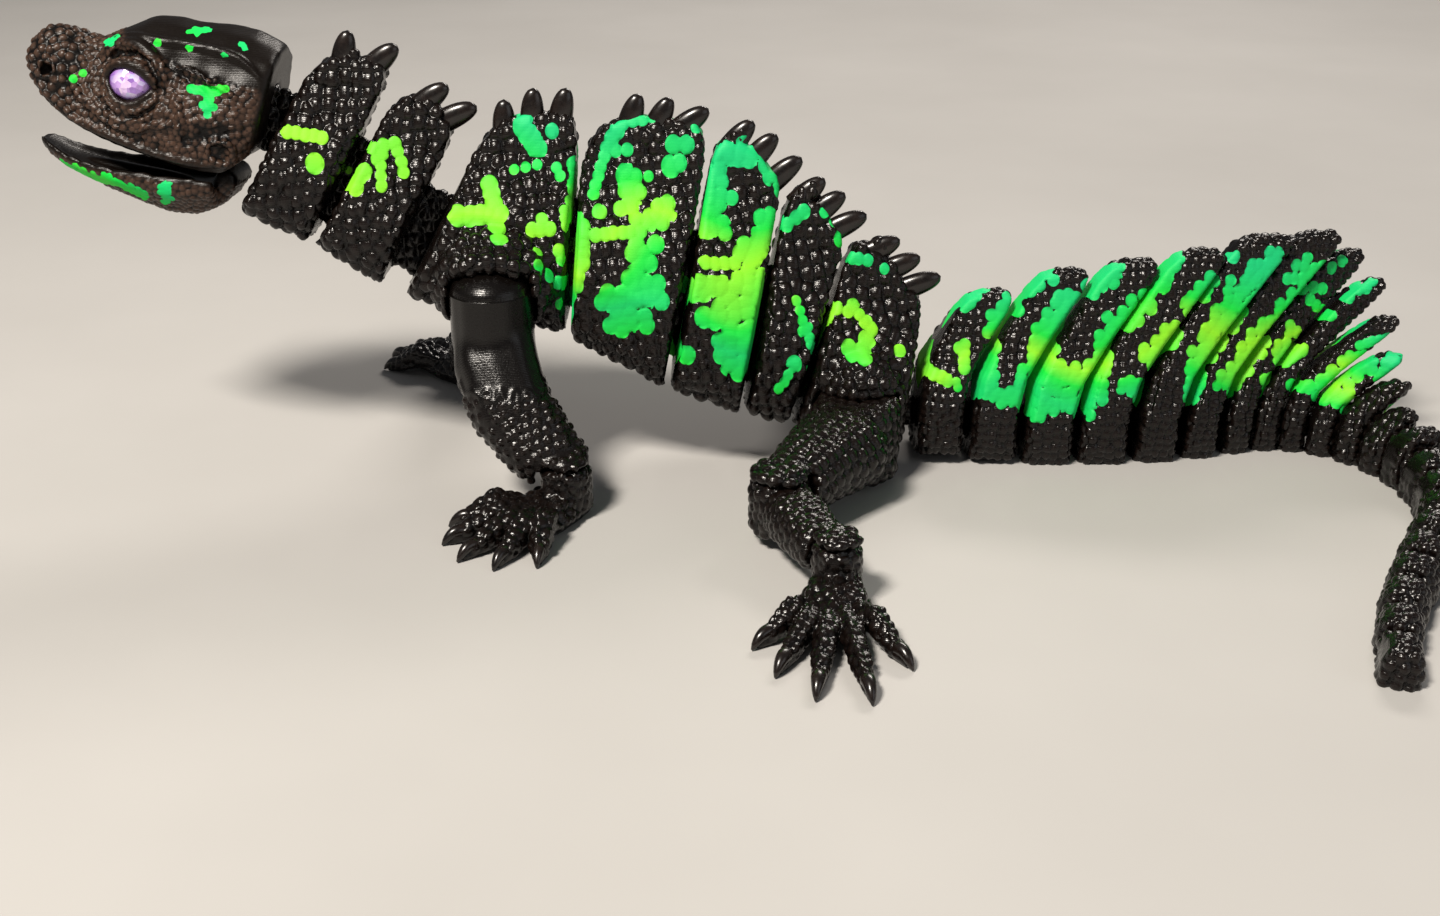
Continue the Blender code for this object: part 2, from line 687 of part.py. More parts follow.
def head_ring(u, frame):
    lip = along(LIP_LINE, u)
    crest = along(CREST_LINE, u)
    lip_half = along(LIP_HALF, u)
    cheek_half = along(CHEEK_HALF, u)
    crest_half = along(CREST_HALF, u)
    rise = crest - lip
    half = [
        (lip_half, lip),
        (mix(lip_half, cheek_half, 0.8), lip + rise * 0.12),
        (cheek_half, lip + rise * 0.36),
        (mix(cheek_half, crest_half, 0.50), lip + rise * 0.66),
        (crest_half * 1.02, lip + rise * 0.83),
        (crest_half * 0.52, lip + rise * 0.95),
    ]
    palate = lip + min(1.6, rise * 0.1)
    ring = [Vector((u, 0.0, palate))]
    ring += [Vector((u, -out, v)) for out, v in half]
    ring += [Vector((u, 0.0, crest))]
    ring += [Vector((u, out, v)) for out, v in reversed(half)]
    return [frame @ point for point in ring]


def make_head():
    frame = head_frame()
    head = solid("head", [head_ring(u, frame) for u in HEAD_STATIONS])
    cutters = []
    for side in (LEFT, RIGHT):
        centre = eye_centre(side)
        halves = [half + EYE_GAP for half in EYE_HALF]
        cutters.append(ellipsoid("socket", centre, halves, frame))
        u, v = NOSTRIL_PLACE
        out = along(CHEEK_HALF, u)
        cutters.append(ellipsoid("nostril", (u, out * side, v), [NOSTRIL_RADIUS] * 3, frame, 1))
    hinge = frame @ Matrix.Translation(Vector((JAW_HINGE[0], 0.0, JAW_HINGE[1])))
    barrel = hinge @ Matrix.Rotation(math.radians(90.0), 4, "X")
    radius = BARREL_RADIUS + PIN_CLEARANCE
    reach = BARREL_HALF + PIN_CLEARANCE
    cutters.append(turned("channel", ((radius, -reach), (radius, reach)), barrel))
    place, lean, radius, half_height = neck_joint()
    cutters.append(cut_key(axis_frame(place, lean), radius, half_height, 12.0, NECK_SWING))
    apply_boolean(head, "DIFFERENCE", cutters)
    finish(head, "head", place)
    add_joint("head_turn", "head", "neck_1", place, axis_of(lean), -NECK_SWING, NECK_SWING)


def eye_centre(side):
    u, v = EYE_PLACE
    out = along(CHEEK_HALF, u)
    return (u, side * (out - EYE_DEPTH), v)


def make_eyes():
    frame = head_frame()
    for side, name in ((LEFT, "eye_left"), (RIGHT, "eye_right")):
        centre = eye_centre(side)
        eye = ellipsoid(name, centre, EYE_HALF, frame)
        finish(eye, name, frame @ Vector(centre), "gem")


def make_jaw():
    closed = head_frame()
    hinge = closed @ Matrix.Translation(Vector((JAW_HINGE[0], 0.0, JAW_HINGE[1])))
    back = Matrix.Translation(Vector((-JAW_HINGE[0], 0.0, -JAW_HINGE[1])))
    frame = hinge @ Matrix.Rotation(math.radians(JAW_OPEN), 4, "Y") @ back
    rings = []
    for u in JAW_STATIONS:
        rim = along(LIP_LINE, u) - JAW_RIM_DROP
        depth = along(JAW_DEPTH, u)
        past = max(0.0, (u - JAW_TIP[0]) / (JAW_TIP[1] - JAW_TIP[0]))
        half = (along(LIP_HALF, u) - 0.5) * math.sqrt(1.0 - past ** 2)
        floor = rim - depth * 0.42
        tongue = floor + depth * 0.14
        wall = min(JAW_WALL, half * 0.4)
        points = [
            (half - wall, rim),
            (half, rim - 0.2),
            (half * 0.98, rim - depth * 0.45),
            (half * 0.62, rim - depth),
        ]
        inner = (half - wall * 1.6, floor)
        ring = [Vector((u, 0.0, tongue)), Vector((u, -inner[0], inner[1]))]
        ring += [Vector((u, -out, v)) for out, v in points]
        ring += [Vector((u, 0.0, rim - depth * 1.04))]
        ring += [Vector((u, out, v)) for out, v in reversed(points)]
        ring += [Vector((u, inner[0], inner[1]))]
        rings.append([frame @ point for point in ring])
    jaw = solid("jaw", rings)
    barrel = hinge @ Matrix.Rotation(math.radians(90.0), 4, "X")
    pin = turned("barrel", ((BARREL_RADIUS, -BARREL_HALF), (BARREL_RADIUS, BARREL_HALF)), barrel)
    block = prism("block", ((-1.6, -7.0), (4.0, -7.0), (4.0, 7.0), (-1.6, 7.0)), -6.2, -2.6, frame)
    apply_boolean(jaw, "UNION", [pin, block])
    place = hinge.to_translation()
    finish(jaw, "jaw", place)
    axis = hinge.to_3x3() @ Vector((0.0, 1.0, 0.0))
    add_joint("jaw_drop", "jaw", "head", place, axis, JAW_LOW, JAW_HIGH)


def axis_of(lean):
    return Vector((math.sin(math.radians(lean)), 0.0, math.cos(math.radians(lean))))


def neck_joint():
    """The place, lean, pin radius and pin half height of the joint between the head and the first neck link."""
    inside_head = head_frame() @ Vector((-1.6, 0.0, 14.0))
    return Vector((inside_head.x, 0.0, inside_head.z)), 24.0, 3.2, 7.0


def spine_joint(ahead, behind):
    """The place, lean, pin radius and pin half height of the joint between two neck or torso links, and how far
    its web reaches back from the pin."""
    _, _, rear_foot, rear_top = SIDE_VIEW[ahead]
    front_foot, front_top, _, _ = SIDE_VIEW[behind]
    rear_lean = math.atan2(rear_top[0] - rear_foot[0], rear_top[1] - rear_foot[1])
    front_lean = math.atan2(front_top[0] - front_foot[0], front_top[1] - front_foot[1])
    lean = (rear_lean + front_lean) / 2.0
    length_ahead = rear_foot[0] - SIDE_VIEW[ahead][0][0]
    length_behind = SIDE_VIEW[behind][2][0] - front_foot[0]
    radius = key_radius(length_ahead, length_behind)
    depth = radius * 1.5 + 0.4
    tall = (Vector(rear_top) - Vector(rear_foot)).length
    foot = Vector((rear_foot[0], 0.0, rear_foot[1]))
    direction = Vector((math.sin(rear_lean), 0.0, math.cos(rear_lean)))
    ahead_way = Vector((-math.cos(lean), 0.0, math.sin(lean)))
    place = foot + direction * (tall * KEY_MIDDLE) + ahead_way * depth
    gap = max(front_foot[0] - rear_foot[0], front_top[0] - rear_top[0])
    return place, math.degrees(lean), radius, tall * KEY_HALF, depth + gap + KEY_ROOT


def tail_frames():
    """The frame of each tail link, with its origin on the link's front joint."""
    frames = []
    place = Vector((TAIL_START - tail_pivot_depth(0), 0.0, 0.0))
    heading = 0.0
    for index in range(TAIL_LINKS):
        heading += along(TAIL_BEND, index)
        frames.append(Matrix.Translation(place) @ Matrix.Rotation(math.radians(heading), 4, "Z"))
        direction = Vector((math.cos(math.radians(heading)), math.sin(math.radians(heading)), 0.0))
        place = place + direction * along(TAIL_PITCH, index)
    return frames


def tail_key(index):
    """The pin radius, middle height and half height of the joint ahead of a tail link."""
    ahead = along(TAIL_PITCH, max(0, index - 1))
    radius = key_radius(ahead, along(TAIL_PITCH, index))
    low = along(TAIL_FOOT, index)
    block = min(along(TAIL_BLOCK, index), along(TAIL_HEIGHT, index) - low)
    return radius, low + block * 0.52, block * 0.24


def make_spine():
    names = list(SIDE_VIEW)
    flat = Matrix.Identity(4)
    for index, name in enumerate(names):
        link = spine_link(name)
        item = solid(name, link_rings(link, flat))
        adds = crest_spines(link, flat)
        cuts = []
        if index == 0:
            place, lean, radius, half_height = neck_joint()
            adds.append(add_key(axis_frame(place, lean), radius, half_height, 12.5))
        else:
            place, lean, radius, half_height, reach = spine_joint(names[index - 1], name)
            adds.append(add_key(axis_frame(place, lean), radius, half_height, reach))
        if index + 1 < len(names):
            rear, rear_lean, radius, half_height, _ = spine_joint(name, names[index + 1])
            reach = radius * 1.5 + 4.0
            cuts.append(cut_key(axis_frame(rear, rear_lean), radius, half_height, reach, link.swing_rear))
        else:
            radius, height, half_height = tail_key(0)
            rear = Vector((TAIL_START - tail_pivot_depth(0), 0.0, height))
            cuts.append(cut_key(axis_frame(rear, 0.0), radius, half_height, tail_pivot_depth(0) + 3.0,
                                link.swing_rear))
        if name == "torso_1":
            adds += shoulder_hoods()
            cuts += limb_pockets(SHOULDER, SHOULDER_RADIUS, SHOULDER_DROP + 12.0)
        if name == "torso_5":
            adds += hip_hoods()
            cuts += limb_pockets(HIP, HIP_RADIUS, HIP_DROP + 12.0)
        apply_boolean(item, "UNION", adds)
        apply_boolean(item, "DIFFERENCE", cuts)
        own = Vector((31.0, 0.0, 15.0)) if name == "torso_5" else place
        if index + 1 < len(names):
            own = rear
            swing = link.swing_rear
            add_joint(f"{name}_turn", name, names[index + 1], rear, axis_of(rear_lean), -swing, swing)
        finish(item, name, own)


def shoulder_hoods():
    flat = Matrix.Identity(4)
    hoods = []
    for side in (LEFT, RIGHT):
        centre = (SHOULDER[0], (SHOULDER[1] - 5.2) * side, SHOULDER[2] + 0.5)
        hoods.append(ellipsoid("hood", centre, (14.6, 10.5, 12.6), flat))
        x, out, _ = SHOULDER
        frame = Matrix.Translation(Vector((x, out * side, 0.0)))
        low = SHOULDER[2] - 6.0
        hoods.append(turned("pin", ((PIN_RADIUS + 0.8, low), (PIN_RADIUS + 0.8, SHOULDER[2] + 6.0)), frame))
    return hoods


def hip_hoods():
    flat = Matrix.Identity(4)
    hoods = []
    for side in (LEFT, RIGHT):
        centre = (HIP[0] + 1.0, (HIP[1] - 6.0) * side, HIP[2] + 3.0)
        hoods.append(ellipsoid("hood", centre, (10.4, 8.4, 12.0), flat))
        x, out, _ = HIP
        frame = Matrix.Translation(Vector((x, out * side, 0.0)))
        hoods.append(turned("pin", ((PIN_RADIUS + 0.8, HIP[2] - 5.0), (PIN_RADIUS + 0.8, HIP[2] + 9.0)), frame))
    return hoods


def limb_pockets(place, radius, drop):
    """Round pockets under the hoods, each with a pin left standing in it."""
    pockets = []
    for side in (LEFT, RIGHT):
        centre = side_place(place, side)
        pockets.append(joint_socket(centre, radius, centre.z - drop, centre.z + 5.6))
    return pockets


def make_tail():
    frames = tail_frames()
    for index, frame in enumerate(frames):
        link = tail_link(index)
        item = solid(link.name, link_rings(link, frame))
        radius, height, half_height = tail_key(index)
        lift = Matrix.Translation(Vector((0.0, 0.0, height)))
        adds = [add_key(frame @ lift, radius, half_height, tail_pivot_depth(index) + 1.6)]
        apply_boolean(item, "UNION", adds)
        if index + 1 < TAIL_LINKS:
            radius, height, half_height = tail_key(index + 1)
            reach = tail_pivot_depth(index + 1) + 2.0
            spot = Matrix.Translation(Vector((along(TAIL_PITCH, index), 0.0, height)))
            cut = cut_key(frame @ spot, radius, half_height, reach, along(TAIL_SWING, index + 1))
            apply_boolean(item, "DIFFERENCE", [cut])
        _, own_height, _ = tail_key(index)
        place = frame.to_translation() + Vector((0.0, 0.0, own_height))
        finish(item, link.name, place)
        swing = along(TAIL_RANGE, index)
        bend = along(TAIL_BEND, index)
        parent = f"tail_{index:02d}" if index else "torso_5"
        add_joint(f"{link.name}_turn", link.name, parent, place, UP, -swing - bend, swing - bend)


def make_arm(side, label):
    shoulder = side_place(SHOULDER, side)
    path = [side_place(place, side) for place in ARM_PATH[side]]
    wrist = path[-1]
    arm = tube("arm", path, ARM_HALF, Vector((1.0, 0.0, 0.0)))
    low = shoulder.z - SHOULDER_DROP
    adds = [joint_head(shoulder, SHOULDER_RADIUS, low, shoulder.z + 5.2)]
    plate = Matrix.Translation(Vector((wrist.x, wrist.y, 0.0)))
    adds.append(turned("plate", ((WRIST_RADIUS, 4.6), (WRIST_RADIUS, FOREARM_TOP - 1.0),
                                 (WRIST_RADIUS - 1.6, FOREARM_TOP)), plate, HEAD_SIDES))
    apply_boolean(arm, "UNION", adds)
    cuts = [pin_hole(shoulder, low - 4.0, shoulder.z + 8.0)]
    cuts.append(joint_socket(wrist, WRIST_RADIUS + 0.6, -1.0, FOREARM_TOP - PLATE))
    apply_boolean(arm, "DIFFERENCE", cuts)
    finish(arm, f"arm_{label}", shoulder)
    add_joint(f"arm_{label}_turn", f"arm_{label}", "torso_1", shoulder, UP, -LIMB_SWING, LIMB_SWING)
    return wrist


def make_hand(wrist, side, label):
    heading = side_heading(HAND_HEADING[side], side)
    palm, digits = paw(wrist, heading, PAW_LENGTH, FINGERS, FINGER_RADIUS, HAND_HALF, HAND_HEIGHT)
    top = FOREARM_TOP - PLATE - PIN_CLEARANCE
    digits.append(joint_head(wrist, WRIST_RADIUS, 2.0, top))
    apply_boolean(palm, "UNION", digits)
    apply_boolean(palm, "DIFFERENCE", [pin_hole(wrist, 3.6, top + 4.0)])
    finish(palm, f"hand_{label}", wrist)
    add_joint(f"hand_{label}_turn", f"hand_{label}", f"arm_{label}", wrist, UP, -LIMB_SWING, LIMB_SWING)


def side_heading(heading, side):
    """A heading given for the left side, mirrored for the right."""
    return heading if side == LEFT else -heading


def make_leg(side, label):
    hip = side_place(HIP, side)
    path = [side_place(place, side) for place in THIGH_PATH[side]]
    knee = path[-1]
    thigh = tube("thigh", path, THIGH_HALF)
    low = hip.z - HIP_DROP
    adds = [joint_head(hip, HIP_RADIUS, low, hip.z + 5.2)]
    plate = Matrix.Translation(Vector((knee.x, knee.y, 0.0)))
    adds.append(turned("plate", ((KNEE_RADIUS, 3.0), (KNEE_RADIUS, LEG_TOP - 1.0), (KNEE_RADIUS - 1.6, LEG_TOP)),
                       plate, HEAD_SIDES))
    apply_boolean(thigh, "UNION", adds)
    cuts = [pin_hole(hip, low - 4.0, hip.z + 8.0)]
    cuts.append(joint_socket(knee, KNEE_RADIUS + 0.6, -1.0, LEG_TOP - PLATE))
    apply_boolean(thigh, "DIFFERENCE", cuts)
    finish(thigh, f"thigh_{label}", hip)
    add_joint(f"thigh_{label}_turn", f"thigh_{label}", "torso_5", hip, UP, -LIMB_SWING, LIMB_SWING)

    heading = math.radians(side_heading(SHANK_HEADING[side], side))
    forward = Vector((math.cos(heading), math.sin(heading), 0.0))
    knee_top = LEG_TOP - PLATE - PIN_CLEARANCE
    centres = []
    for share, height in ((0.0, 8.6), (0.35, 9.4), (0.72, 8.6), (1.0, 8.2)):
        centre = knee + forward * (SHANK_LENGTH * share)
        centre.z = height
        centres.append(centre)
    ankle = centres[-1]
    shank = tube("shank", centres, SHANK_HALF)
    plate = Matrix.Translation(Vector((ankle.x, ankle.y, 0.0)))
    adds = [joint_head(knee, KNEE_RADIUS, 3.0, knee_top)]
    adds.append(turned("plate", ((ANKLE_RADIUS, 4.8), (ANKLE_RADIUS, SHANK_TOP - 1.0),
                                 (ANKLE_RADIUS - 1.6, SHANK_TOP)), plate, HEAD_SIDES))
    apply_boolean(shank, "UNION", adds)
    cuts = [pin_hole(knee, -1.0, knee_top + 4.0)]
    cuts.append(joint_socket(ankle, ANKLE_RADIUS + 0.6, -1.0, SHANK_TOP - PLATE))
    apply_boolean(shank, "DIFFERENCE", cuts)
    finish(shank, f"shank_{label}", knee)
    add_joint(f"shank_{label}_turn", f"shank_{label}", f"thigh_{label}", knee, UP, -LIMB_SWING, LIMB_SWING)

    heading = side_heading(FOOT_HEADING[side], side)
    palm, digits = paw(ankle, heading, PAW_LENGTH, TOES, TOE_RADIUS, FOOT_HALF, FOOT_HEIGHT)
    top = SHANK_TOP - PLATE - PIN_CLEARANCE
    digits.append(joint_head(ankle, ANKLE_RADIUS, 2.0, top))
    apply_boolean(palm, "UNION", digits)
    apply_boolean(palm, "DIFFERENCE", [pin_hole(ankle, 3.6, top + 4.0)])
    finish(palm, f"foot_{label}", ankle)
    add_joint(f"foot_{label}_turn", f"foot_{label}", f"shank_{label}", ankle, UP, -LIMB_SWING, LIMB_SWING)


def centre_on_floor():
    """Moves the whole toy so that its box is centred on the origin and stands on z = 0."""
    bpy.context.view_layer.update()
    corners = []
    for item in bpy.context.scene.objects:
        corners += [item.matrix_world @ point.co for point in item.data.vertices]
    low = Vector([min(corner[axis] for corner in corners) for axis in range(3)])
    high = Vector([max(corner[axis] for corner in corners) for axis in range(3)])
    shift = Vector((-(low.x + high.x) / 2.0, -(low.y + high.y) / 2.0, -low.z))
    for item in bpy.context.scene.objects:
        item.location += shift
    return shift / MM


def main():
    for item in list(bpy.data.objects):
        bpy.data.objects.remove(item)
    make_head()
    make_eyes()
    make_jaw()
    make_spine()
    make_tail()
    for side, label in ((LEFT, "left"), (RIGHT, "right")):
        wrist = make_arm(side, label)
        make_hand(wrist, side, label)
        make_leg(side, label)
    return centre_on_floor()


SHIFT = main()
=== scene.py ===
# Looks of a printed, jointed sailfin lizard toy: fine scaled skins over its links, limbs, head and jaw,
# with glossy spines and claws, gem eyes, soft studio light, a pale floor and the photograph's camera.
# Sizes and places are millimetres in the toy's own frame, which TOY_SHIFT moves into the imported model's.
import json
import math
import random
from collections import namedtuple

import bmesh
import bpy
import numpy as np
from mathutils import Matrix, Vector, kdtree
from mathutils.bvhtree import BVHTree


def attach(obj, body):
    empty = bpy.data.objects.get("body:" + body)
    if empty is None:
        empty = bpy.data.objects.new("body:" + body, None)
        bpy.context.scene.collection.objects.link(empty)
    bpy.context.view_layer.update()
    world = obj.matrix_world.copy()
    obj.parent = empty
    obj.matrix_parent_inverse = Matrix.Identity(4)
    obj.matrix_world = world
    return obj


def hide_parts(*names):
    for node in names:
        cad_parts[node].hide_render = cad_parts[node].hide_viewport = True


MM = 0.001
LEFT = -1
RIGHT = 1
UP = Vector((0.0, 0.0, 1.0))
IMAGE_WIDTH = 1440
IMAGE_HEIGHT = 916

# The photograph's camera, and the point that its middle looks at
CAMERA_RISE = 24.0
CAMERA_DISTANCE = 400.0
CAMERA_TARGET = Vector((0.0, 0.0, -2.2))
FOCAL_PIXELS = 1667.0

# Size of the skins' faces, and how many rounds of softening they get
LINK_GRAIN = 0.42
TAIL_GRAIN = 0.38
LIMB_GRAIN = 0.44
HEAD_GRAIN = 0.33
PAW_GRAIN = 0.36
CLAY_GRAIN = 0.9
LINK_SOFTENING = 14
CLAY_SOFTENING = 24
LIGHT_SOFTENING = 3
# How far each round pulls a point towards its neighbours' middle, then pushes it back, and the last pull
SOFTENING_PULLS = (0.55, -0.57)
LAST_PULL = 0.5

# Scales: the distance between their middles, how far they stand out, how tall they are for their width, and
# whether they are small balls that stand apart
Scale = namedtuple("Scale", "spacing height tall loose")
LINK_SCALE = Scale(2.7, 1.05, 1.2, False)
TAIL_SCALE = Scale(2.1, 0.80, 1.1, False)
ARM_SCALE = Scale(2.5, 0.70, 1.0, True)
THIGH_SCALE = Scale(3.0, 0.85, 1.0, False)
SHANK_SCALE = Scale(2.5, 0.70, 1.0, False)
PAW_SCALE = Scale(2.0, 0.55, 1.0, False)
HEAD_SCALE = Scale(1.3, 0.34, 1.0, False)
# What is left of a scale's relief in a green blotch, how far a blotch reaches round each of its scales, and
# the size of one of the photograph's pixels at the toy
GREEN_RELIEF = 0.12
GREEN_REACH = 0.66
PIXEL_SIZE = 0.24
# A value of the green attribute that is far outside any blotch
NO_GREEN = -20.0
# Strokes fall on faces that look at the camera this much and lie no further than this past the toy's middle
SEEN_FACING = -0.1
PAST_MIDDLE = 2.0
# Seeds along a stroke, in shares of a scale's spacing: their step, the clearance between them, and the least
# and most that the green reaches round one. STROKE_MISS is how many pixels a seed may lie from its place.
STROKE_STEP = 0.85
STROKE_CLEAR = 0.5
LEAST_REACH = 0.42
MOST_REACH = 0.95
STROKE_MISS = 4.0
# Rows of seeds, in shares of a scale's spacing: the rise from row to row, how far a seed strays, and how
# near strewn seeds may come to others, squared
ROW_RISE = 0.86
ROW_JITTER = 0.24
STREWN_CLEAR_SQUARED = 0.72
# The rows' start, the clearance that they keep from strokes, how far a face must look aside to carry them,
# and how many millimetres a seed may lie from its place
ROW_START = 0.3
ROW_CLEAR = 0.6
ROW_FACING = 0.22
ROW_MISS = 0.6
# Rings of seeds round a limb, in the same shares: their start, half the band whose radius they take, and the
# clearance between seeds
WOUND_START = 0.4
WOUND_BAND = 0.3
WOUND_CLEAR = 0.62
# A cell and its neighbours, in which strewn seeds look for others
NEAR_CELLS = [(a, b, c) for a in (-1, 0, 1) for b in (-1, 0, 1) for c in (-1, 0, 1)]
# How much of a link's outside a point must be to carry rows of scales, or strewn ones. The outside fades
# between these facings aside and upwards.
ROWS_WEIGHT = 0.6
STREWN_WEIGHT = 0.5
SIDE_FACING = (0.18, 0.5)
UP_FACING = (0.35, 0.75)
# Relief, in shares of a scale's spacing and height: the radius of a loose ball, the width of the slope at a
# groove and of the dome, how much each adds, how deep all is set, and how deep a groove may be
LOOSE_RADIUS = 0.36
SLOPE_WIDTH = 0.7
DOME_WIDTH = 0.6
SLOPE_SHARE = 0.6
DOME_SHARE = 0.5
RELIEF_DEPTH = 0.45
DEEPEST = -0.5
# Where scales flatten inside a blotch, how high the flat is, and how far past the toy's middle the blotches
# are those of the photographed side. The other side's are an echo that drifts by a few pixels.
FLAT_FADE = (-0.25, 0.3)
FLAT_RISE = 0.2
LEFT_LIMIT = 0.6
ECHO_DRIFT = (6.0, 7.0)
# How much scales vary in height, and how much one that leans rises towards its free edge
LEAST_SCALE = 0.6
MOST_SCALE = 1.2
KEEL_RISE = 0.55

# Neck and torso links. The side view is the front edge's foot and top, then the rear edge's foot and top.
# The rounded top has a height, and its front and rear edges curl in. The rows of scales lean back by an
# angle. The spines have a count, the shares of the crest between which they stand, and a lean at each end.
Crown = namedtuple("Crown", "height front rear")
Link = namedtuple("Link", "side crown lean spines")
LINKS = {
    "neck_1": Link(((-105.8, 61.5), (-86.5, 94.5), (-90.6, 54.8), (-70.8, 91.5)),
                   Crown(6.5, 7.0, 3.0), 30.0, (2, 0.30, 0.74, 10.0, 46.0)),
    "neck_2": Link(((-89.4, 54.2), (-69.4, 87.0), (-75.4, 44.8), (-57.2, 79.6)),
                   Crown(6.5, 6.5, 3.5), 30.0, (2, 0.38, 0.82, 50.0, 62.0)),
    "torso_1": Link(((-70.5, 43.0), (-49.6, 80.5), (-34.8, 34.5), (-31.0, 81.0)),
                    Crown(8.0, 7.0, 3.0), 14.0, (3, 0.11, 0.78, -3.0, 9.0)),
    "torso_2": Link(((-33.7, 34.0), (-29.6, 80.5), (-12.6, 22.0), (-1.8, 78.5)),
                    Crown(12.0, 10.0, 3.5), 8.0, (3, 0.35, 0.78, 14.0, 50.0)),
    "torso_3": Link(((-11.4, 21.5), (-0.6, 77.5), (4.6, 15.5), (14.2, 68.5)),
                    Crown(7.5, 5.5, 3.5), 11.0, (3, 0.24, 0.92, 37.0, 46.0)),
    "torso_4": Link(((5.7, 15.0), (15.4, 65.5), (15.8, 12.0), (29.0, 55.0)),
                    Crown(8.0, 5.5, 3.5), 14.0, (3, 0.22, 0.86, 44.0, 60.0)),
    "torso_5": Link(((17.0, 11.5), (30.3, 54.0), (42.8, 6.0), (46.6, 40.5)),
                    Crown(7.5, 5.5, 4.0), 12.0, (3, 0.28, 0.86, 60.0, 66.0)),
}
TAIL_LEAN = 32.0
# Places on the front and rear edges of a rounded top, from its foot to its highest point
CROWN_STEPS = (0.0, 0.5, 0.82, 1.0)
# What cuts the solids' own spines off: its corners behind and ahead of the crest, half its width, and how
# much of their roots it leaves
CUT_BEHIND = ((30.0, 10.0), (30.0, 60.0))
CUT_AHEAD = ((-12.0, 40.0), (-12.0, 12.0))
CUT_HALF = 40.0
SPINE_STUB = 0.05
# The scene's own spines: how tall they stand, half their size along and across the toy, how deep they go into
# the link, how far their root lies below the crest, and the rings and sides of their mesh
SPINE_LENGTH = 6.6
SPINE_HALF_LENGTH = 2.7
SPINE_HALF_WIDTH = 1.9
SPINE_SINK = 2.4
SPINE_ROOT = 1.0
SPINE_RINGS = 18
SPINE_SIDES = 24

# The head's own view: u forwards from the corner of the mouth, v up from the line of the lips. The corner and
# its turn in the toy's frame, the jaw's hinge and how far it is open, and the eye's place, half size, opening
# and how far out the bottom of its socket is
HEAD_CORNER = Vector((-109.0, 0.0, 68.7))
HEAD_PITCH = 16.0
HEAD_ROLL = 5.0
JAW_HINGE = (-1.0, -1.6)
JAW_OPEN = 10.5
EYE_PLACE = (20.9, 11.1, 14.6)
EYE_HALF = (4.6, 2.9, 4.0)
EYE_OPENING = ((25.3, 15.4), (24.3, 16.8), (22.1, 17.4), (19.8, 17.1), (18.1, 16.2), (16.7, 14.9),
               (18.0, 13.2), (19.6, 11.8), (21.4, 11.1), (23.1, 11.6), (24.5, 13.2))
SOCKET_DEPTH = 8.2

# Limbs, as the solids place them: wrists and knees as x and how far out, the headings of shanks and paws, and
# each digit's spread and reach
SHOULDER_LEFT = Vector((-50.0, -18.6, 46.0))
WRIST = {LEFT: (-33.5, 35.0), RIGHT: (-65.0, 44.0)}
HAND_HEADING = {LEFT: 227.0, RIGHT: 234.0}
FINGERS = ((-46.0, 13.0), (-20.0, 17.5), (2.0, 19.5), (24.0, 18.0), (50.0, 13.5))
KNEE = {LEFT: (12.5, 48.5), RIGHT: (40.0, 52.0)}
SHANK_HEADING = {LEFT: -68.0, RIGHT: -106.0}
SHANK_LENGTH = 28.0
FOOT_HEADING = {LEFT: -96.0, RIGHT: -78.0}
TOES = ((-52.0, 13.0), (-24.0, 20.0), (-4.0, 26.0), (16.0, 27.0), (44.0, 17.0))
PAW_LENGTH = 15.0
PALM_HALF = {"hand": 7.6, "foot": 7.4}
# Where the digits leave a paw, in shares of its length and half width, how much of their spread they keep,
# and a claw's length, radius, height over the floor, and the share of it that lies on its digit
KNUCKLE_ALONG = 0.72
KNUCKLE_OUT = 0.92
SPREAD_SHARE = 0.8
CLAW_LENGTH = 5.2
CLAW_RADIUS = 1.5
CLAW_HEIGHT = 2.5
CLAW_ROOT = 0.75
CLAW_STEPS = 8
# The heights over the floor between which the scales of a paw fade in
PAW_FADE = (0.4, 2.0)
# An arm's smooth strap: the height of its lower edge, how the scales fade there, how proud it stands on faces
# that don't look up, and its rim's height, place and width
STRAP_END = 26.0
STRAP_FADE = (-0.3, 0.3)
STRAP_PROUD = 0.15
STRAP_TOP_FADE = (-0.9, -0.4)
RIM_HEIGHT = 0.30
RIM_PLACE = 0.9
RIM_WIDTH = 0.8
# The dome on top of a strap: its height, and how far it reaches past the flat
DOME_HEIGHT = 5.0
DOME_MARGIN = 0.6
# The brow of the first torso link that is arched over the dome: degrees each way, steps, half its width, its
# rise and drop against the strap's top, its radius, and how far it stands out
BROW_REACH = 80.0
BROW_STEPS = 10
BROW_HALF = 11.0
BROW_RISE = 7.5
BROW_DROP = 5.0
BROW_RADIUS = 2.2
BROW_HEIGHT = 1.5

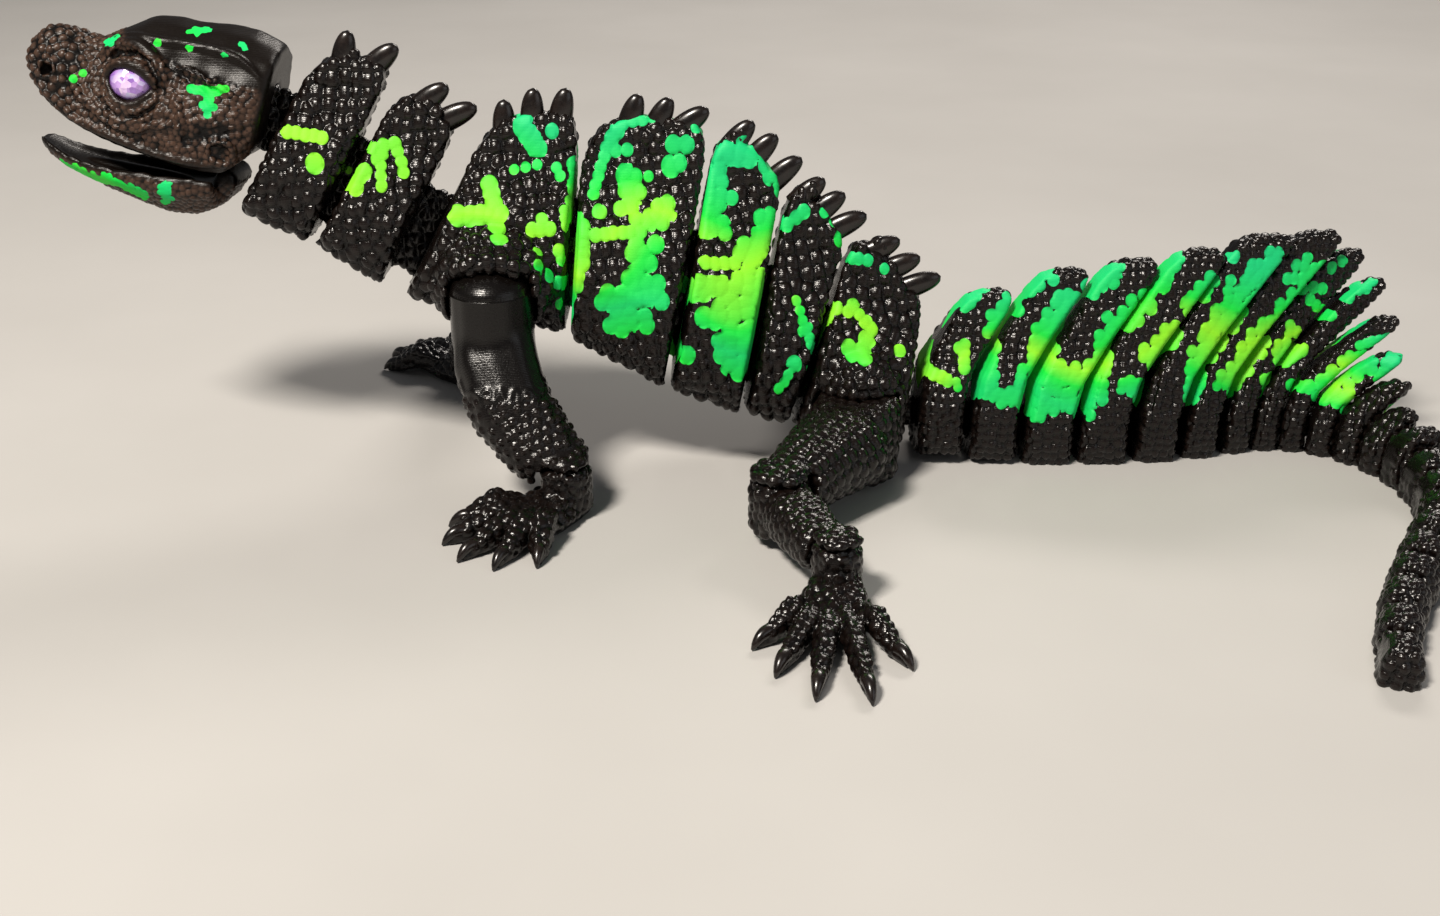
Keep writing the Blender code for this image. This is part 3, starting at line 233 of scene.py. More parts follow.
# Green blotches as strokes in the photograph's pixels: from, to and radius
BLOTCHES = {
    "head": (
        (74, 79, 75, 80, 3.9),
        (83, 73, 85, 72, 3.6),
        (191, 88, 209, 93, 4.3),
        (209, 93, 225, 88, 4.6),
        (209, 96, 208, 109, 6.4),
        (191, 31, 209, 30, 3.6),
        (242, 44, 243, 45, 4.6),
        (157, 42, 158, 42, 3.9),
        (189, 47, 189, 47, 3.6),
        (224, 55, 225, 55, 3.9),
        (108, 44, 116, 36, 3.2),
    ),
    "jaw": (
        (52, 161, 95, 177, 3.9),
        (95, 177, 120, 183, 4.3),
        (120, 184, 145, 195, 4.1),
        (166, 186, 166, 198, 5.7),
    ),
    "neck_1": (
        (288, 132, 322, 138, 6.0), (315, 164, 315, 167, 8.4),
    ),
    "neck_2": (
        (374, 148, 394, 144, 6.0), (380, 150, 377, 160, 5.5), (381, 165, 382, 186, 5.2),
        (397, 152, 404, 172, 5.6), (358, 177, 358, 181, 8.6),
    ),
    "torso_1": (
        (459, 216, 499, 213, 8.8), (490, 185, 499, 238, 8.1), (523, 126, 537, 148, 9.4),
        (552, 132, 552, 132, 6.2), (515, 170, 537, 165, 4.4), (557, 168, 560, 176, 5.0),
        (574, 166, 576, 204, 8.1), (532, 230, 549, 229, 6.2), (542, 219, 542, 222, 5.6),
        (565, 210, 565, 226, 4.4), (537, 252, 538, 266, 5.0), (559, 251, 562, 260, 5.6),
        (549, 276, 559, 283, 5.6), (560, 304, 560, 307, 3.8),
    ),
    "torso_2": (
        (593, 194, 606, 148, 5.6), (606, 148, 624, 122, 6.9), (624, 121, 662, 118, 5.6),
        (615, 151, 628, 149, 5.6), (682, 118, 696, 127, 5.0), (673, 144, 687, 144, 7.5),
        (671, 166, 673, 169, 9.4), (628, 176, 631, 201, 13.1), (648, 177, 648, 177, 4.4),
        (599, 212, 600, 212, 6.9), (596, 235, 640, 232, 6.2), (640, 226, 665, 213, 11.2),
        (659, 207, 663, 216, 8.1), (582, 226, 582, 263, 7.5), (578, 276, 574, 294, 6.9),
        (568, 307, 568, 310, 3.8), (643, 254, 634, 285, 14.4), (613, 304, 656, 294, 12.5),
        (621, 322, 640, 319, 11.2), (656, 244, 656, 248, 8.1),
    ),
    "torso_3": (
        (718, 154, 749, 155, 10.0), (709, 176, 712, 210, 15.0), (721, 194, 731, 198, 6.2),
        (706, 229, 721, 226, 9.4), (765, 160, 771, 176, 7.5), (774, 176, 782, 191, 5.6),
        (768, 219, 752, 260, 10.6), (748, 260, 748, 341, 16.2), (731, 298, 731, 363, 15.6),
        (706, 263, 734, 263, 6.2), (690, 285, 721, 287, 9.4), (704, 316, 715, 319, 8.8),
        (671, 349, 687, 355, 8.1), (756, 348, 767, 346, 6.9), (762, 307, 762, 307, 5.0),
    ),
    "torso_4": (
        (787, 224, 804, 212, 6.2), (823, 213, 823, 213, 4.4), (835, 222, 846, 240, 5.3),
        (796, 301, 809, 338, 4.7), (810, 344, 812, 349, 3.8), (817, 358, 818, 360, 6.2),
        (809, 372, 812, 374, 6.2), (793, 368, 779, 388, 4.4),
    ),
    "torso_5": (
        (852, 258, 867, 260, 5.3), (884, 268, 884, 269, 4.7), (823, 326, 837, 308, 6.2),
        (837, 308, 859, 315, 5.6), (859, 315, 871, 329, 6.9), (871, 329, 862, 351, 8.8),
        (849, 348, 862, 354, 7.5), (899, 351, 901, 352, 6.2),
    ),
    "tail_01": (
        (978, 290, 943, 313, 7.0), (943, 313, 929, 334, 7.7), (923, 331, 923, 366, 9.1),
        (929, 371, 948, 380, 6.3), (957, 382, 957, 387, 4.2), (899, 352, 901, 354, 6.3),
    ),
    "tail_02": (
        (965, 345, 964, 369, 6.0), (1046, 275, 1016, 299, 9.8), (1016, 299, 993, 329, 10.5),
        (992, 352, 988, 376, 10.5), (978, 389, 995, 394, 7.7), (995, 394, 1020, 401, 7.7),
        (1023, 369, 1023, 369, 5.6),
    ),
    "tail_03": (
        (1114, 275, 1092, 289, 11.2), (1067, 304, 1048, 334, 11.9), (1048, 334, 1037, 362, 14.0),
        (1032, 380, 1079, 380, 15.4), (1034, 404, 1072, 403, 13.3),
    ),
    "tail_04": (
        (1174, 254, 1162, 285, 8.4), (1148, 299, 1118, 324, 11.9), (1114, 324, 1099, 362, 11.2),
        (1099, 362, 1090, 404, 12.6),
    ),
    "tail_05": (
        (1211, 282, 1188, 303, 9.1), (1234, 257, 1234, 258, 6.3), (1174, 333, 1151, 355, 10.5),
        (1130, 387, 1136, 390, 8.4), (1121, 389, 1121, 390, 4.9),
    ),
    "tail_06": (
        (1276, 255, 1241, 296, 11.9), (1241, 296, 1206, 345, 13.3), (1206, 345, 1192, 390, 11.9),
        (1230, 280, 1228, 290, 5.6), (1192, 394, 1194, 397, 7.7),
    ),
    "tail_07": (
        (1339, 278, 1297, 306, 11.9), (1297, 306, 1255, 345, 12.6), (1255, 345, 1227, 383, 10.5),
        (1328, 257, 1304, 278, 4.2), (1207, 317, 1207, 317, 4.2),
    ),
    "tail_08": (
        (1342, 308, 1330, 313, 6.3), (1342, 325, 1342, 325, 7.7), (1307, 343, 1286, 362, 6.7),
        (1264, 380, 1262, 387, 5.6), (1376, 289, 1360, 296, 4.2),
    ),
    "tail_09": (
        (1392, 303, 1364, 311, 6.0), (1386, 337, 1360, 345, 4.6), (1293, 385, 1311, 387, 7.0),
    ),
    "tail_10": (
        (1364, 362, 1321, 387, 12.6), (1328, 390, 1349, 401, 10.5), (1395, 362, 1381, 376, 9.1),
        (1349, 355, 1364, 359, 4.9),
    ),
    "tail_11": (
        (1403, 401, 1381, 422, 6.0),
    ),
}

# Folds of skin, the lip and the crest's ridge, laid on the head's sides: radius, how far they stand out, and
# path in (u, v)
FOLDS = (
    (1.8, 1.60, ((29.4, 17.4), (27.3, 19.6), (24.6, 21.4), (21.4, 22.2), (18.2, 21.2), (15.4, 18.8),
                 (14.2, 16.4))),
    (0.9, 0.90, ((27.6, 10.6), (25.0, 9.2), (22.0, 8.6), (18.6, 9.4), (16.0, 11.4), (14.6, 13.6))),
    (0.9, 0.85, ((28.6, 8.9), (25.4, 7.2), (21.6, 6.7), (17.6, 7.6), (14.6, 9.6), (12.6, 11.6))),
    (1.0, 0.90, ((36.6, 11.2), (33.0, 9.6), (29.6, 7.6), (26.0, 5.9), (22.2, 4.9), (18.2, 5.6), (14.6, 7.4),
                 (11.0, 8.4), (8.0, 8.0))),
    (1.1, 0.85, ((42.2, 10.2), (40.4, 8.0), (37.2, 5.9), (33.6, 4.1), (29.4, 2.9), (24.4, 2.3), (18.4, 1.9),
                 (12.4, 1.7), (6.6, 1.9), (2.6, 2.2), (-1.4, 2.8))),
    (0.9, 0.80, ((13.8, 19.2), (10.6, 20.6), (7.4, 20.4), (4.4, 19.2), (1.2, 18.8), (-2.0, 17.8))),
    (1.0, 0.75, ((12.2, 15.6), (9.8, 13.0), (8.6, 10.2), (8.4, 7.6), (7.4, 5.4))),
    (1.3, 0.80, ((29.2, 20.6), (26.6, 22.2), (22.4, 23.9), (17.4, 24.6), (12.0, 25.2), (6.6, 25.7),
                 (1.6, 25.7), (-2.2, 24.5), (-5.2, 22.6))),
)
# The eye's lids: radius, and their path as (u, v) with how far out from the head's middle each place is
LIDS = (
    (1.55, ((26.6, 14.4, 11.0), (25.3, 16.4, 11.5), (23.3, 18.0, 12.0), (20.8, 18.5, 12.5),
            (18.4, 18.0, 12.9), (16.6, 16.8, 13.3), (15.0, 15.2, 13.5))),
    (0.95, ((26.4, 14.8, 10.9), (25.4, 12.5, 11.5), (23.6, 10.6, 12.4), (21.4, 9.9, 13.0),
            (19.2, 10.6, 13.3), (17.4, 12.3, 13.5), (15.8, 14.3, 13.5))),
)
# How thick a fold or lid still is at its ends, for its thickness in the middle
THIN_END = 0.45
# Rings round the boss and the nostril: radius, how far they stand out, and middle and radius of the ring
BOSS_PLACE = (-0.5, 5.8)
NOSTRIL_PLACE = (39.9, 11.8)
RINGS = (
    (0.9, 1.1, BOSS_PLACE, 2.5),
    (0.75, 0.85, NOSTRIL_PLACE, 1.7),
)
RING_STEPS = 18
# Hollows of the head's sides: place, radius and depth
HOLLOWS = (
    (*NOSTRIL_PLACE, 1.0, 1.3),
    (*BOSS_PLACE, 1.4, 0.9),
    (3.6, 8.8, 1.8, 1.1),
    (-0.2, 10.2, 1.7, 1.1),
    (6.6, 6.6, 1.3, 0.8),
    (17.0, 3.6, 1.0, 0.6),
    (13.0, 3.5, 1.0, 0.6),
    (12.0, 22.2, 3.2, 0.9),
    (6.0, 22.6, 3.2, 1.0),
    (1.0, 22.0, 3.0, 0.8),
)
# Creases above and below the eye: their width, depth and path
CREASES = (
    (0.55, 0.75, ((27.4, 15.6), (26.2, 18.2), (24.0, 20.0), (21.0, 20.6), (18.0, 20.0), (15.6, 18.0),
                  (13.8, 15.2))),
    (0.50, 0.50, ((26.8, 9.8), (24.2, 8.0), (21.2, 7.6), (18.0, 8.4), (15.4, 10.6))),
    (0.50, 0.45, ((34.0, 8.6), (30.0, 6.4), (25.6, 4.6), (21.0, 3.8))),
    (0.60, 0.60, ((12.0, 19.6), (9.0, 18.6), (6.0, 18.4), (3.0, 18.0))),
)
# How much darker a hollow is for its depth, as painted shade
HOLLOW_SHADE = 0.9
# Wrinkles of the head's skin
WRINKLE_SPACING = 1.9
WRINKLE_HEIGHT = 0.24
# Where the larger scales of the snout start, the distance between them, and how much higher they rise
SNOUT_START = 33.0
SNOUT_SPACING = 2.0
SNOUT_FADE = (SNOUT_START - 3.0, SNOUT_START + 2.0)
SNOUT_RELIEF = 0.7
# How far a face must look aside to carry the head's hollows and wrinkles
HEAD_SIDE_FADE = (0.3, 0.6)
# The lower edge of the smooth crest, and the upper edge of the jaw's scales: places along the head and the
# heights there
CREST_EDGE = ((-6.0, 10.0, 20.0, 27.0, 30.0), (20.5, 21.5, 22.0, 23.5, 40.0))
JAW_EDGE = ((0.0, 28.0, 40.0), (0.0, 0.8, 4.0))
# The head is smooth on its crest, rear and underside, and nearly so on its lips and round its eyes. The
# scales fade between two values of height, place along the head or facing. The ring round an eye is
# stretched along the head.
CREST_FADE = (-1.0, 0.6)
REAR_FADE = (5.4, 6.6)
UNDER_FADE = (0.55, 0.8)
LIP_FADE_UP = (-3.4, -2.4)
LIP_FADE_AHEAD = (-38.0, -35.0)
LIP_SHARE = 0.6
EYE_FADE = (-5.2, -4.2)
EYE_STRETCH = 1.15
EYE_SHARE = 0.85
# The jaw is smooth where it faces up and along its lips, and has no green on faces that look to the right
JAW_INNER_FADE = (0.2, 0.5)
JAW_LIP_FADE = (1.4, 2.8)
JAW_RIGHT_FACING = 0.2
# How far out a line starts that looks for the head's side
RAY_START = 40.0
# The tongue's radius, and its path in the jaw's middle
TONGUE_RADIUS = 3.0
TONGUE = ((6.0, -5.2), (12.0, -4.6), (20.0, -4.0), (27.0, -2.9), (32.0, -1.8))

# Colours: the tops of the scales, lighter as painted light, the grooves between them, darker as painted
# shade, and the smooth places, the head's tops, lighter brown as painted highlight, and smooth places, the
# spines and claws, and the greens from the lowest hue to the highest
BLACK_TOP_PAINTED_LIGHT = (0.0065, 0.0038, 0.0030)
BLACK_GROOVE_PAINTED_SHADE = (0.0012, 0.0009, 0.0009)
BLACK_SMOOTH = (0.0024, 0.0017, 0.0014)
# The head's tops are a brown painted highlight
HEAD_TOP_PAINTED_HIGHLIGHT = (0.072, 0.040, 0.027)
HEAD_SMOOTH = (0.0040, 0.0022, 0.0012)
GLOSS_DARK = (0.0030, 0.0021, 0.0019)
GLOSS_BROWN = (0.011, 0.0064, 0.0048)
GREEN_LIME = (0.24, 0.70, 0.014)
GREEN_MID = (0.003, 0.60, 0.040)
GREEN_MINT = (0.003, 0.52, 0.17)
MIDDLE_HUE = 0.42
# The hue of the greens at shares of a link's height, from 0 for lime to 1 for mint. The neck's are limer.
HUE_HEIGHTS = (0.0, 0.14, 0.34, 0.56, 0.76, 1.0)
HUE_VALUES = (0.30, 0.42, 0.80, 0.02, 0.55, 1.0)
NECK_HUE = 0.25
# Each plastic's most roughness and its shine
PLAIN_GLOSS = (0.30, 0.34)
POLISHED_GLOSS = (0.28, 0.34)
LEATHERY_GLOSS = (0.42, 0.24)
# Half the width of a blotch's edge in millimetres, the rise over which the painted shade of the grooves turns
# to the painted light of the tops, how much the black's roughness varies, and the roughness of the greens
BLOTCH_EDGE = 0.06
PAINTED_SHADE_TO_LIGHT = (-0.30, 0.42)
ROUGH_SPAN = 0.12
GREEN_ROUGHNESS = 0.62
# The print's layer lines, how strong they are beside its grain, and the strength and depth of both
LAYER_LINES = {"Scale": 1000.0, "Distortion": 1.2, "Detail": 1.0}
LINES_SHARE = 0.35
PRINT_BUMP = (0.35, 0.00012)
# The gem's facets to a metre, their strength and depth, their colours from the least to the most of a random
# value, and the rim's colour
GEM_CELLS = 900.0
GEM_BUMP = (0.5, 0.0003)
GEM_SPARKS = ((0.0, (0.26, 0.13, 0.46)), (0.35, (0.48, 0.30, 0.66)), (0.65, (0.82, 0.66, 0.86)),
              (1.0, (0.50, 0.52, 0.78)))
GEM_RIM = (0.22, 0.10, 0.40)

# The stage, in metres: the floor's two colours and half its width, what the lamps point at, and each lamp's
# place, size, power and colour
FLOOR_COLOURS = ((0.38, 0.37, 0.355), (0.42, 0.41, 0.395))
FLOOR_HALF = 3.0
LAMP_TARGET = Vector((0.0, 0.0, 0.04))
LAMPS = {
    "key": ((-0.45, -0.60, 1.00), (0.26, 0.20), 25.0, (1.0, 0.93, 0.84)),
    "fill": ((0.9, -0.7, 0.5), (0.9, 0.7), 1.5, (0.94, 0.97, 1.0)),
    "rim": ((0.35, 0.85, 0.8), (0.6, 0.2), 7.0, (1.0, 0.93, 0.86)),
}
SKY_COLOUR = (0.88, 0.89, 0.92, 1.0)
SKY_STRENGTH = 0.14

Skin = namedtuple("Skin", "item points normals edges")

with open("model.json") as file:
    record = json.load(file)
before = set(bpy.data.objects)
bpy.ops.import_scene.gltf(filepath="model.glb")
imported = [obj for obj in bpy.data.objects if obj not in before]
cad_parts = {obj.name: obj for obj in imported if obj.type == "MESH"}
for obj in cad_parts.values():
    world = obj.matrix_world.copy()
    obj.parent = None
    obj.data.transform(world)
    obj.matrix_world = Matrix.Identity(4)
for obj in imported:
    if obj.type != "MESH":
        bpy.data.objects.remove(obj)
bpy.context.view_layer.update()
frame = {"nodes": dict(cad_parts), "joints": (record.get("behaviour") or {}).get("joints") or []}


def joint_place(name):
    for joint in frame["joints"]:
        if joint["name"] == name:
            return Vector(joint["pos_m"]) / MM
    raise ValueError(f"no joint is named {name}")


TOY_SHIFT = joint_place("arm_left_turn") - SHOULDER_LEFT


# Small mathematics

def ease(values, low, high):
    """A smooth step of numbers or arrays from 0 at low to 1 at high."""
    share = np.clip((values - low) / (high - low), 0.0, 1.0)
    return share * share * (3.0 - 2.0 * share)


def camera_frame():
    rise = math.radians(CAMERA_RISE)
    back = Vector((0.0, -math.cos(rise), math.sin(rise)))
    place = CAMERA_TARGET + back * CAMERA_DISTANCE
    ahead = -back
    up = Vector((0.0, math.sin(rise), math.cos(rise)))
    return place, ahead, up


def photo_places(points):
    """The photograph's pixels at which points in the toy's frame lie."""
    place, ahead, up = camera_frame()
    offset = points - np.array(place)
    depth = offset @ np.array(ahead)
    across = IMAGE_WIDTH / 2 + FOCAL_PIXELS * offset[:, 0] / depth
    down = IMAGE_HEIGHT / 2 - FOCAL_PIXELS * (offset @ np.array(up)) / depth
    return across, down


def head_frame():
    """From the head's own (u, y, v) to the toy's frame."""
    pitch = Matrix.Rotation(math.radians(HEAD_PITCH), 4, "Y")
    roll = Matrix.Rotation(math.radians(-HEAD_ROLL), 4, "X")
    flip = Matrix(((-1, 0, 0, 0), (0, 1, 0, 0), (0, 0, 1, 0), (0, 0, 0, 1)))
    return Matrix.Translation(HEAD_CORNER) @ (pitch @ roll) @ flip


def jaw_frame():
    """From the head's own (u, y, v), for a closed jaw, to the toy's frame with the jaw open."""
    hinge = head_frame() @ Matrix.Translation(Vector((JAW_HINGE[0], 0.0, JAW_HINGE[1])))
    back = Matrix.Translation(Vector((-JAW_HINGE[0], 0.0, -JAW_HINGE[1])))
    return hinge @ Matrix.Rotation(math.radians(JAW_OPEN), 4, "Y") @ back


# Skins: fine, softened copies of the solids

def new_item(name, shape):
    """A new object of the scene from a mesh, which is used up."""
    mesh = bpy.data.meshes.new(name)
    shape.to_mesh(mesh)
    shape.free()
    item = bpy.data.objects.new(name, mesh)
    bpy.context.scene.collection.objects.link(item)
    return item


def solid_copy(node):
    """A node's closed solid as a mesh in the toy's frame, in millimetres."""
    shape = bmesh.new()
    shape.from_mesh(frame["nodes"][node].data)
    bmesh.ops.remove_doubles(shape, verts=shape.verts[:], dist=0.000002)
    for point in shape.verts:
        point.co = point.co / MM - TOY_SHIFT
    return shape


def crown_outline(node):
    """The side view of a link's rounded top: its front edge and its rear edge, each from low to high."""
    front_foot, front_top, rear_foot, rear_top = [Vector((x, 0.0, z)) for x, z in LINKS[node].side]
    crown = LINKS[node].crown
    start = 1.0 - crown.height / (front_top.z - front_foot.z)
    front = []
    rear = []
    for past in CROWN_STEPS:
        share = start + (1.0 - start) * past
        curl = 1.0 - math.sqrt(1.0 - past ** 2)
        front.append(front_foot.lerp(front_top, share) + Vector((crown.front * curl, 0.0, 0.0)))
        rear.append(rear_foot.lerp(rear_top, share) - Vector((crown.rear * curl, 0.0, 0.0)))
    return front, rear


def across_link(along):
    """The way out of a line in the side view that runs backwards over a link."""
    return Vector((-along.z, 0.0, along.x)).normalized()


def cut_spines(shape, node):
    """Cuts a link's solid back to its rounded top, where this scene's own spines stand."""
    front, rear = crown_outline(node)
    outline = front + rear[::-1]
    lines = list(zip(outline, outline[1:]))
    facings = [across_link(high - low) for low, high in lines]
    ring = [outline[0] + facings[0] * SPINE_STUB]
    for place, before, after in zip(outline[1:-1], facings, facings[1:]):
        ring.append(place + (before + after).normalized() * SPINE_STUB)
    ring.append(outline[-1] + facings[-1] * SPINE_STUB)
    ring += [outline[-1] + Vector((across, 0.0, up)) for across, up in CUT_BEHIND]
    ring += [outline[0] + Vector((across, 0.0, up)) for across, up in CUT_AHEAD]
    cutter = bmesh.new()
    near, far = [[cutter.verts.new((spot.x, y, spot.z)) for spot in ring] for y in (-CUT_HALF, CUT_HALF)]
    cutter.faces.new(near)
    cutter.faces.new(far)
    for index, point in enumerate(near):
        cutter.faces.new((point, near[index - 1], far[index - 1], far[index]))
    bmesh.ops.recalc_face_normals(cutter, faces=cutter.faces[:])
    if cutter.calc_volume(signed=True) < 0.0:
        bmesh.ops.reverse_faces(cutter, faces=cutter.faces[:])
    return taken_away(shape, cutter)


def taken_away(shape, cutter):
    """A closed mesh without what another closed mesh covers."""
    whole = new_item("whole", shape)
    knife = new_item("cutter", cutter)
    cut = whole.modifiers.new("cut", "BOOLEAN")
    cut.operation = "DIFFERENCE"
    cut.object = knife
    bpy.context.view_layer.update()
    left = bmesh.new()
    left.from_object(whole, bpy.context.evaluated_depsgraph_get())
    bpy.data.objects.remove(whole)
    bpy.data.objects.remove(knife)
    return left


def join_rings(shape, rings):
    """Joins rings of points of a mesh to a closed tube."""
    sides = len(rings[0])
    for low, high in zip(rings, rings[1:]):
        for step in range(sides):
            after = (step + 1) % sides
            shape.faces.new((low[step], low[after], high[after], high[step]))
    shape.faces.new(list(reversed(rings[0])))
    shape.faces.new(rings[-1])


def add_tube(shape, path, radii, sides=8):
    """Adds a closed round tube along a path to a mesh."""
    loops = []
    for index, centre in enumerate(path):
        before = path[max(0, index - 1)]
        after = path[min(len(path) - 1, index + 1)]
        direction = (after - before).normalized()
        across = direction.orthogonal().normalized()
        rise = direction.cross(across)
        ring = []
        for step in range(sides):
            angle = 2.0 * math.pi * step / sides
            reach = across * math.cos(angle) + rise * math.sin(angle)
            ring.append(shape.verts.new(centre + reach * radii[index]))
        if loops:
            turn = min(range(sides), key=lambda step: (ring[step].co - loops[-1][0].co).length)
            ring = ring[turn:] + ring[:turn]
        loops.append(ring)
    join_rings(shape, loops)


def rounded_clay(node):
    """A node's solid with its facets rounded away, as a closed mesh to add folds to."""
    skin = grow_skin(node, solid_copy(node), CLAY_GRAIN, CLAY_SOFTENING)
    skin.item.data.vertices.foreach_set("co", skin.points.ravel())
    clay = bmesh.new()
    clay.from_mesh(skin.item.data)
    bpy.data.objects.remove(skin.item)
    return clay


def grow_skin(name, shape, grain, rounds):
    """Fuses closed meshes to one even surface and softens its edges."""
    bmesh.ops.recalc_face_normals(shape, faces=shape.faces[:])
    item = new_item(name, shape)
    fuse = item.modifiers.new("fuse", "REMESH")
    fuse.mode = "VOXEL"
    fuse.voxel_size = grain
    bpy.context.view_layer.update()
    fused = bpy.data.meshes.new_from_object(item.evaluated_get(bpy.context.evaluated_depsgraph_get()))
    item.modifiers.clear()
    item.data = fused
    fused.name = name
    points = np.zeros(len(fused.vertices) * 3)
    fused.vertices.foreach_get("co", points)
    points = points.reshape(-1, 3)
    edges = np.zeros(len(fused.edges) * 2, dtype=np.int64)
    fused.edges.foreach_get("vertices", edges)
    edges = edges.reshape(-1, 2)
    points = soften(points, edges, rounds)
    return Skin(item, points, surface_normals(fused, points), edges)


def neighbour_mean(values, edges):
    """For each point, the mean of its neighbours' values."""
    count = np.bincount(edges.ravel(), minlength=len(values)).astype(float)
    sums = np.zeros_like(values)
    for axis in range(values.shape[1]):
        column = values[:, axis]
        sums[:, axis] = np.bincount(edges[:, 0], column[edges[:, 1]], len(values))
        sums[:, axis] += np.bincount(edges[:, 1], column[edges[:, 0]], len(values))
    return sums / np.maximum(count, 1.0)[:, None]


def soften(points, edges, rounds):
    """Rounds edges off without shrinking: each smoothing step is followed by one that swells."""
    for _ in range(rounds):
        for pull in SOFTENING_PULLS:
            points = points + pull * (neighbour_mean(points, edges) - points)
    return points + LAST_PULL * (neighbour_mean(points, edges) - points)


def surface_normals(mesh, points):
    """Unit normals at a mesh's points, for places given apart from the mesh."""
    corners = np.zeros(len(mesh.loops), dtype=np.int64)
    mesh.loops.foreach_get("vertex_index", corners)
    starts = np.zeros(len(mesh.polygons), dtype=np.int64)
    mesh.polygons.foreach_get("loop_start", starts)
    totals = np.zeros(len(mesh.polygons), dtype=np.int64)
    mesh.polygons.foreach_get("loop_total", totals)
    first = points[corners[starts]]
    second = points[corners[starts + 1]]
    third = points[corners[starts + 2]]
    last = points[corners[starts + totals - 1]]
    facing = np.cross(third - first, last - second)
    owners = np.repeat(np.arange(len(totals)), totals)
    normals = np.zeros_like(points)
    for axis in range(3):
        normals[:, axis] = np.bincount(corners, facing[owners, axis], len(points))
    return normals / np.maximum(np.linalg.norm(normals, axis=1), 1e-9)[:, None]


# Scales: seeds on a skin, the relief round them, and the ones that are green

def squeezed(points, scale):
    """Places in which a scale that is taller than wide is round."""
    return np.asarray(points).reshape(-1, 3) * np.array((1.0, 1.0, 1.0 / scale.tall))


def strokes_of(node):
    """A node's strokes. Each fin of the tail overlaps the next, so it takes that one's strokes too."""
    strokes = BLOTCHES.get(node, ())
    if node.startswith("tail"):
        strokes += BLOTCHES.get(f"tail_{int(node[-2:]) + 1:02d}", ())
    return strokes


def stroke_seeds(node, skin, scale):
    """Seeds along the strokes of a node's blotches, and how far the green reaches round each."""
    strokes = strokes_of(node)
    _, ahead, _ = camera_frame()
    facing = skin.normals @ np.array(ahead) < SEEN_FACING
    seen = np.nonzero(facing & (skin.points[:, 1] < PAST_MIDDLE))[0]
    seeds = []
    reaches = []
    if not strokes or len(seen) == 0:
        return seeds, reaches
    across, down = photo_places(skin.points[seen])
    tree = search_tree(np.column_stack((across, down, np.zeros(len(seen)))))
    step = scale.spacing * STROKE_STEP / PIXEL_SIZE
    least = scale.spacing * LEAST_REACH
    most = scale.spacing * MOST_REACH
    clearance = scale.spacing * STROKE_CLEAR
    for x0, y0, x1, y1, radius in strokes:
        length = math.hypot(x1 - x0, y1 - y0)
        count = max(1, round(length / step))
        for index in range(count + 1):
            share = index / count
            spot = (x0 + (x1 - x0) * share, y0 + (y1 - y0) * share, 0.0)
            _, order, miss = tree.find(spot)
            place = skin.points[seen[order]]
            close = any((Vector(place) - Vector(other)).length < clearance for other in seeds)
            if miss < STROKE_MISS and not close:
                seeds.append(place)
                reaches.append(min(max(radius * PIXEL_SIZE, least), most))
    return seeds, reaches


def clear_of(seeds, others, distance):
    """The seeds that stand at least a distance away from some others."""
    if not len(others):
        return seeds
    tree = search_tree(others)
    return [seed for seed in seeds if tree.find(seed)[2] > distance]


def side_seeds(skin, wanted, scale, lean, rng):
    """Seeds in staggered rows on both sides of a link, leaning as the link does."""
    seeds = []
    spacing = scale.spacing
    slope = math.tan(math.radians(lean))
    for side in (LEFT, RIGHT):
        picked = np.nonzero(wanted & (skin.normals[:, 1] * side > ROW_FACING))[0]
        if len(picked) == 0:
            continue
        tree = search_tree(skin.points[picked] * np.array((1.0, 0.0, 1.0)))
        low = skin.points[picked].min(axis=0)
        high = skin.points[picked].max(axis=0)
        rise = spacing * ROW_RISE * scale.tall
        row = 0
        height = low[2] + spacing * ROW_START
        while height < high[2]:
            across = low[0] - spacing + (spacing * 0.5 if row % 2 else 0.0)
            while across < high[0] + spacing:
                stray_x, stray_z = [rng.uniform(-ROW_JITTER, ROW_JITTER) * spacing for _ in range(2)]
                x = across + slope * (height - low[2]) % spacing + stray_x
                z = height + stray_z
                _, order, distance = tree.find((x, 0.0, z))
                if distance < ROW_MISS:
                    seeds.append(skin.points[picked[order]])
                across += spacing
            height += rise
            row += 1
    return seeds


def scattered_seeds(skin, wanted, spacing, rng, existing=()):
    """Seeds strewn evenly over the wanted part of a skin, clear of those that exist."""
    picked = np.nonzero(wanted)[0]
    rng.shuffle(picked)
    cells = {}

    def place_in(point):
        return tuple(int(math.floor(value / spacing)) for value in point)

    for point in existing:
        cells.setdefault(place_in(point), []).append(tuple(point))
    seeds = []
    limit = spacing * spacing * STREWN_CLEAR_SQUARED
    for index in picked:
        point = skin.points[index]
        cell = place_in(point)
        x, y, z = point
        clear = True
        for offset in NEAR_CELLS:
            for other in cells.get((cell[0] + offset[0], cell[1] + offset[1], cell[2] + offset[2]), ()):
                if (x - other[0]) ** 2 + (y - other[1]) ** 2 + (z - other[2]) ** 2 < limit:
                    clear = False
                    break
            if not clear:
                break
        if clear:
            cells.setdefault(cell, []).append((x, y, z))
            seeds.append(point)
    return seeds


def search_tree(points):
    tree = kdtree.KDTree(len(points))
    for order, point in enumerate(points):
        tree.insert(point, order)
    tree.balance()
    return tree


def nearest_pairs(points, tree):
    """Distances to the nearest two seeds of each point, and which seed is nearest."""
    first = np.full(len(points), 99.0)
    second = np.full(len(points), 99.0)
    owner = np.zeros(len(points), dtype=np.int64)
    for index, point in enumerate(points):
        found = tree.find_n(point, 2)
        first[index] = found[0][2]
        owner[index] = found[0][1]
        second[index] = found[-1][2]
    return first, second, owner


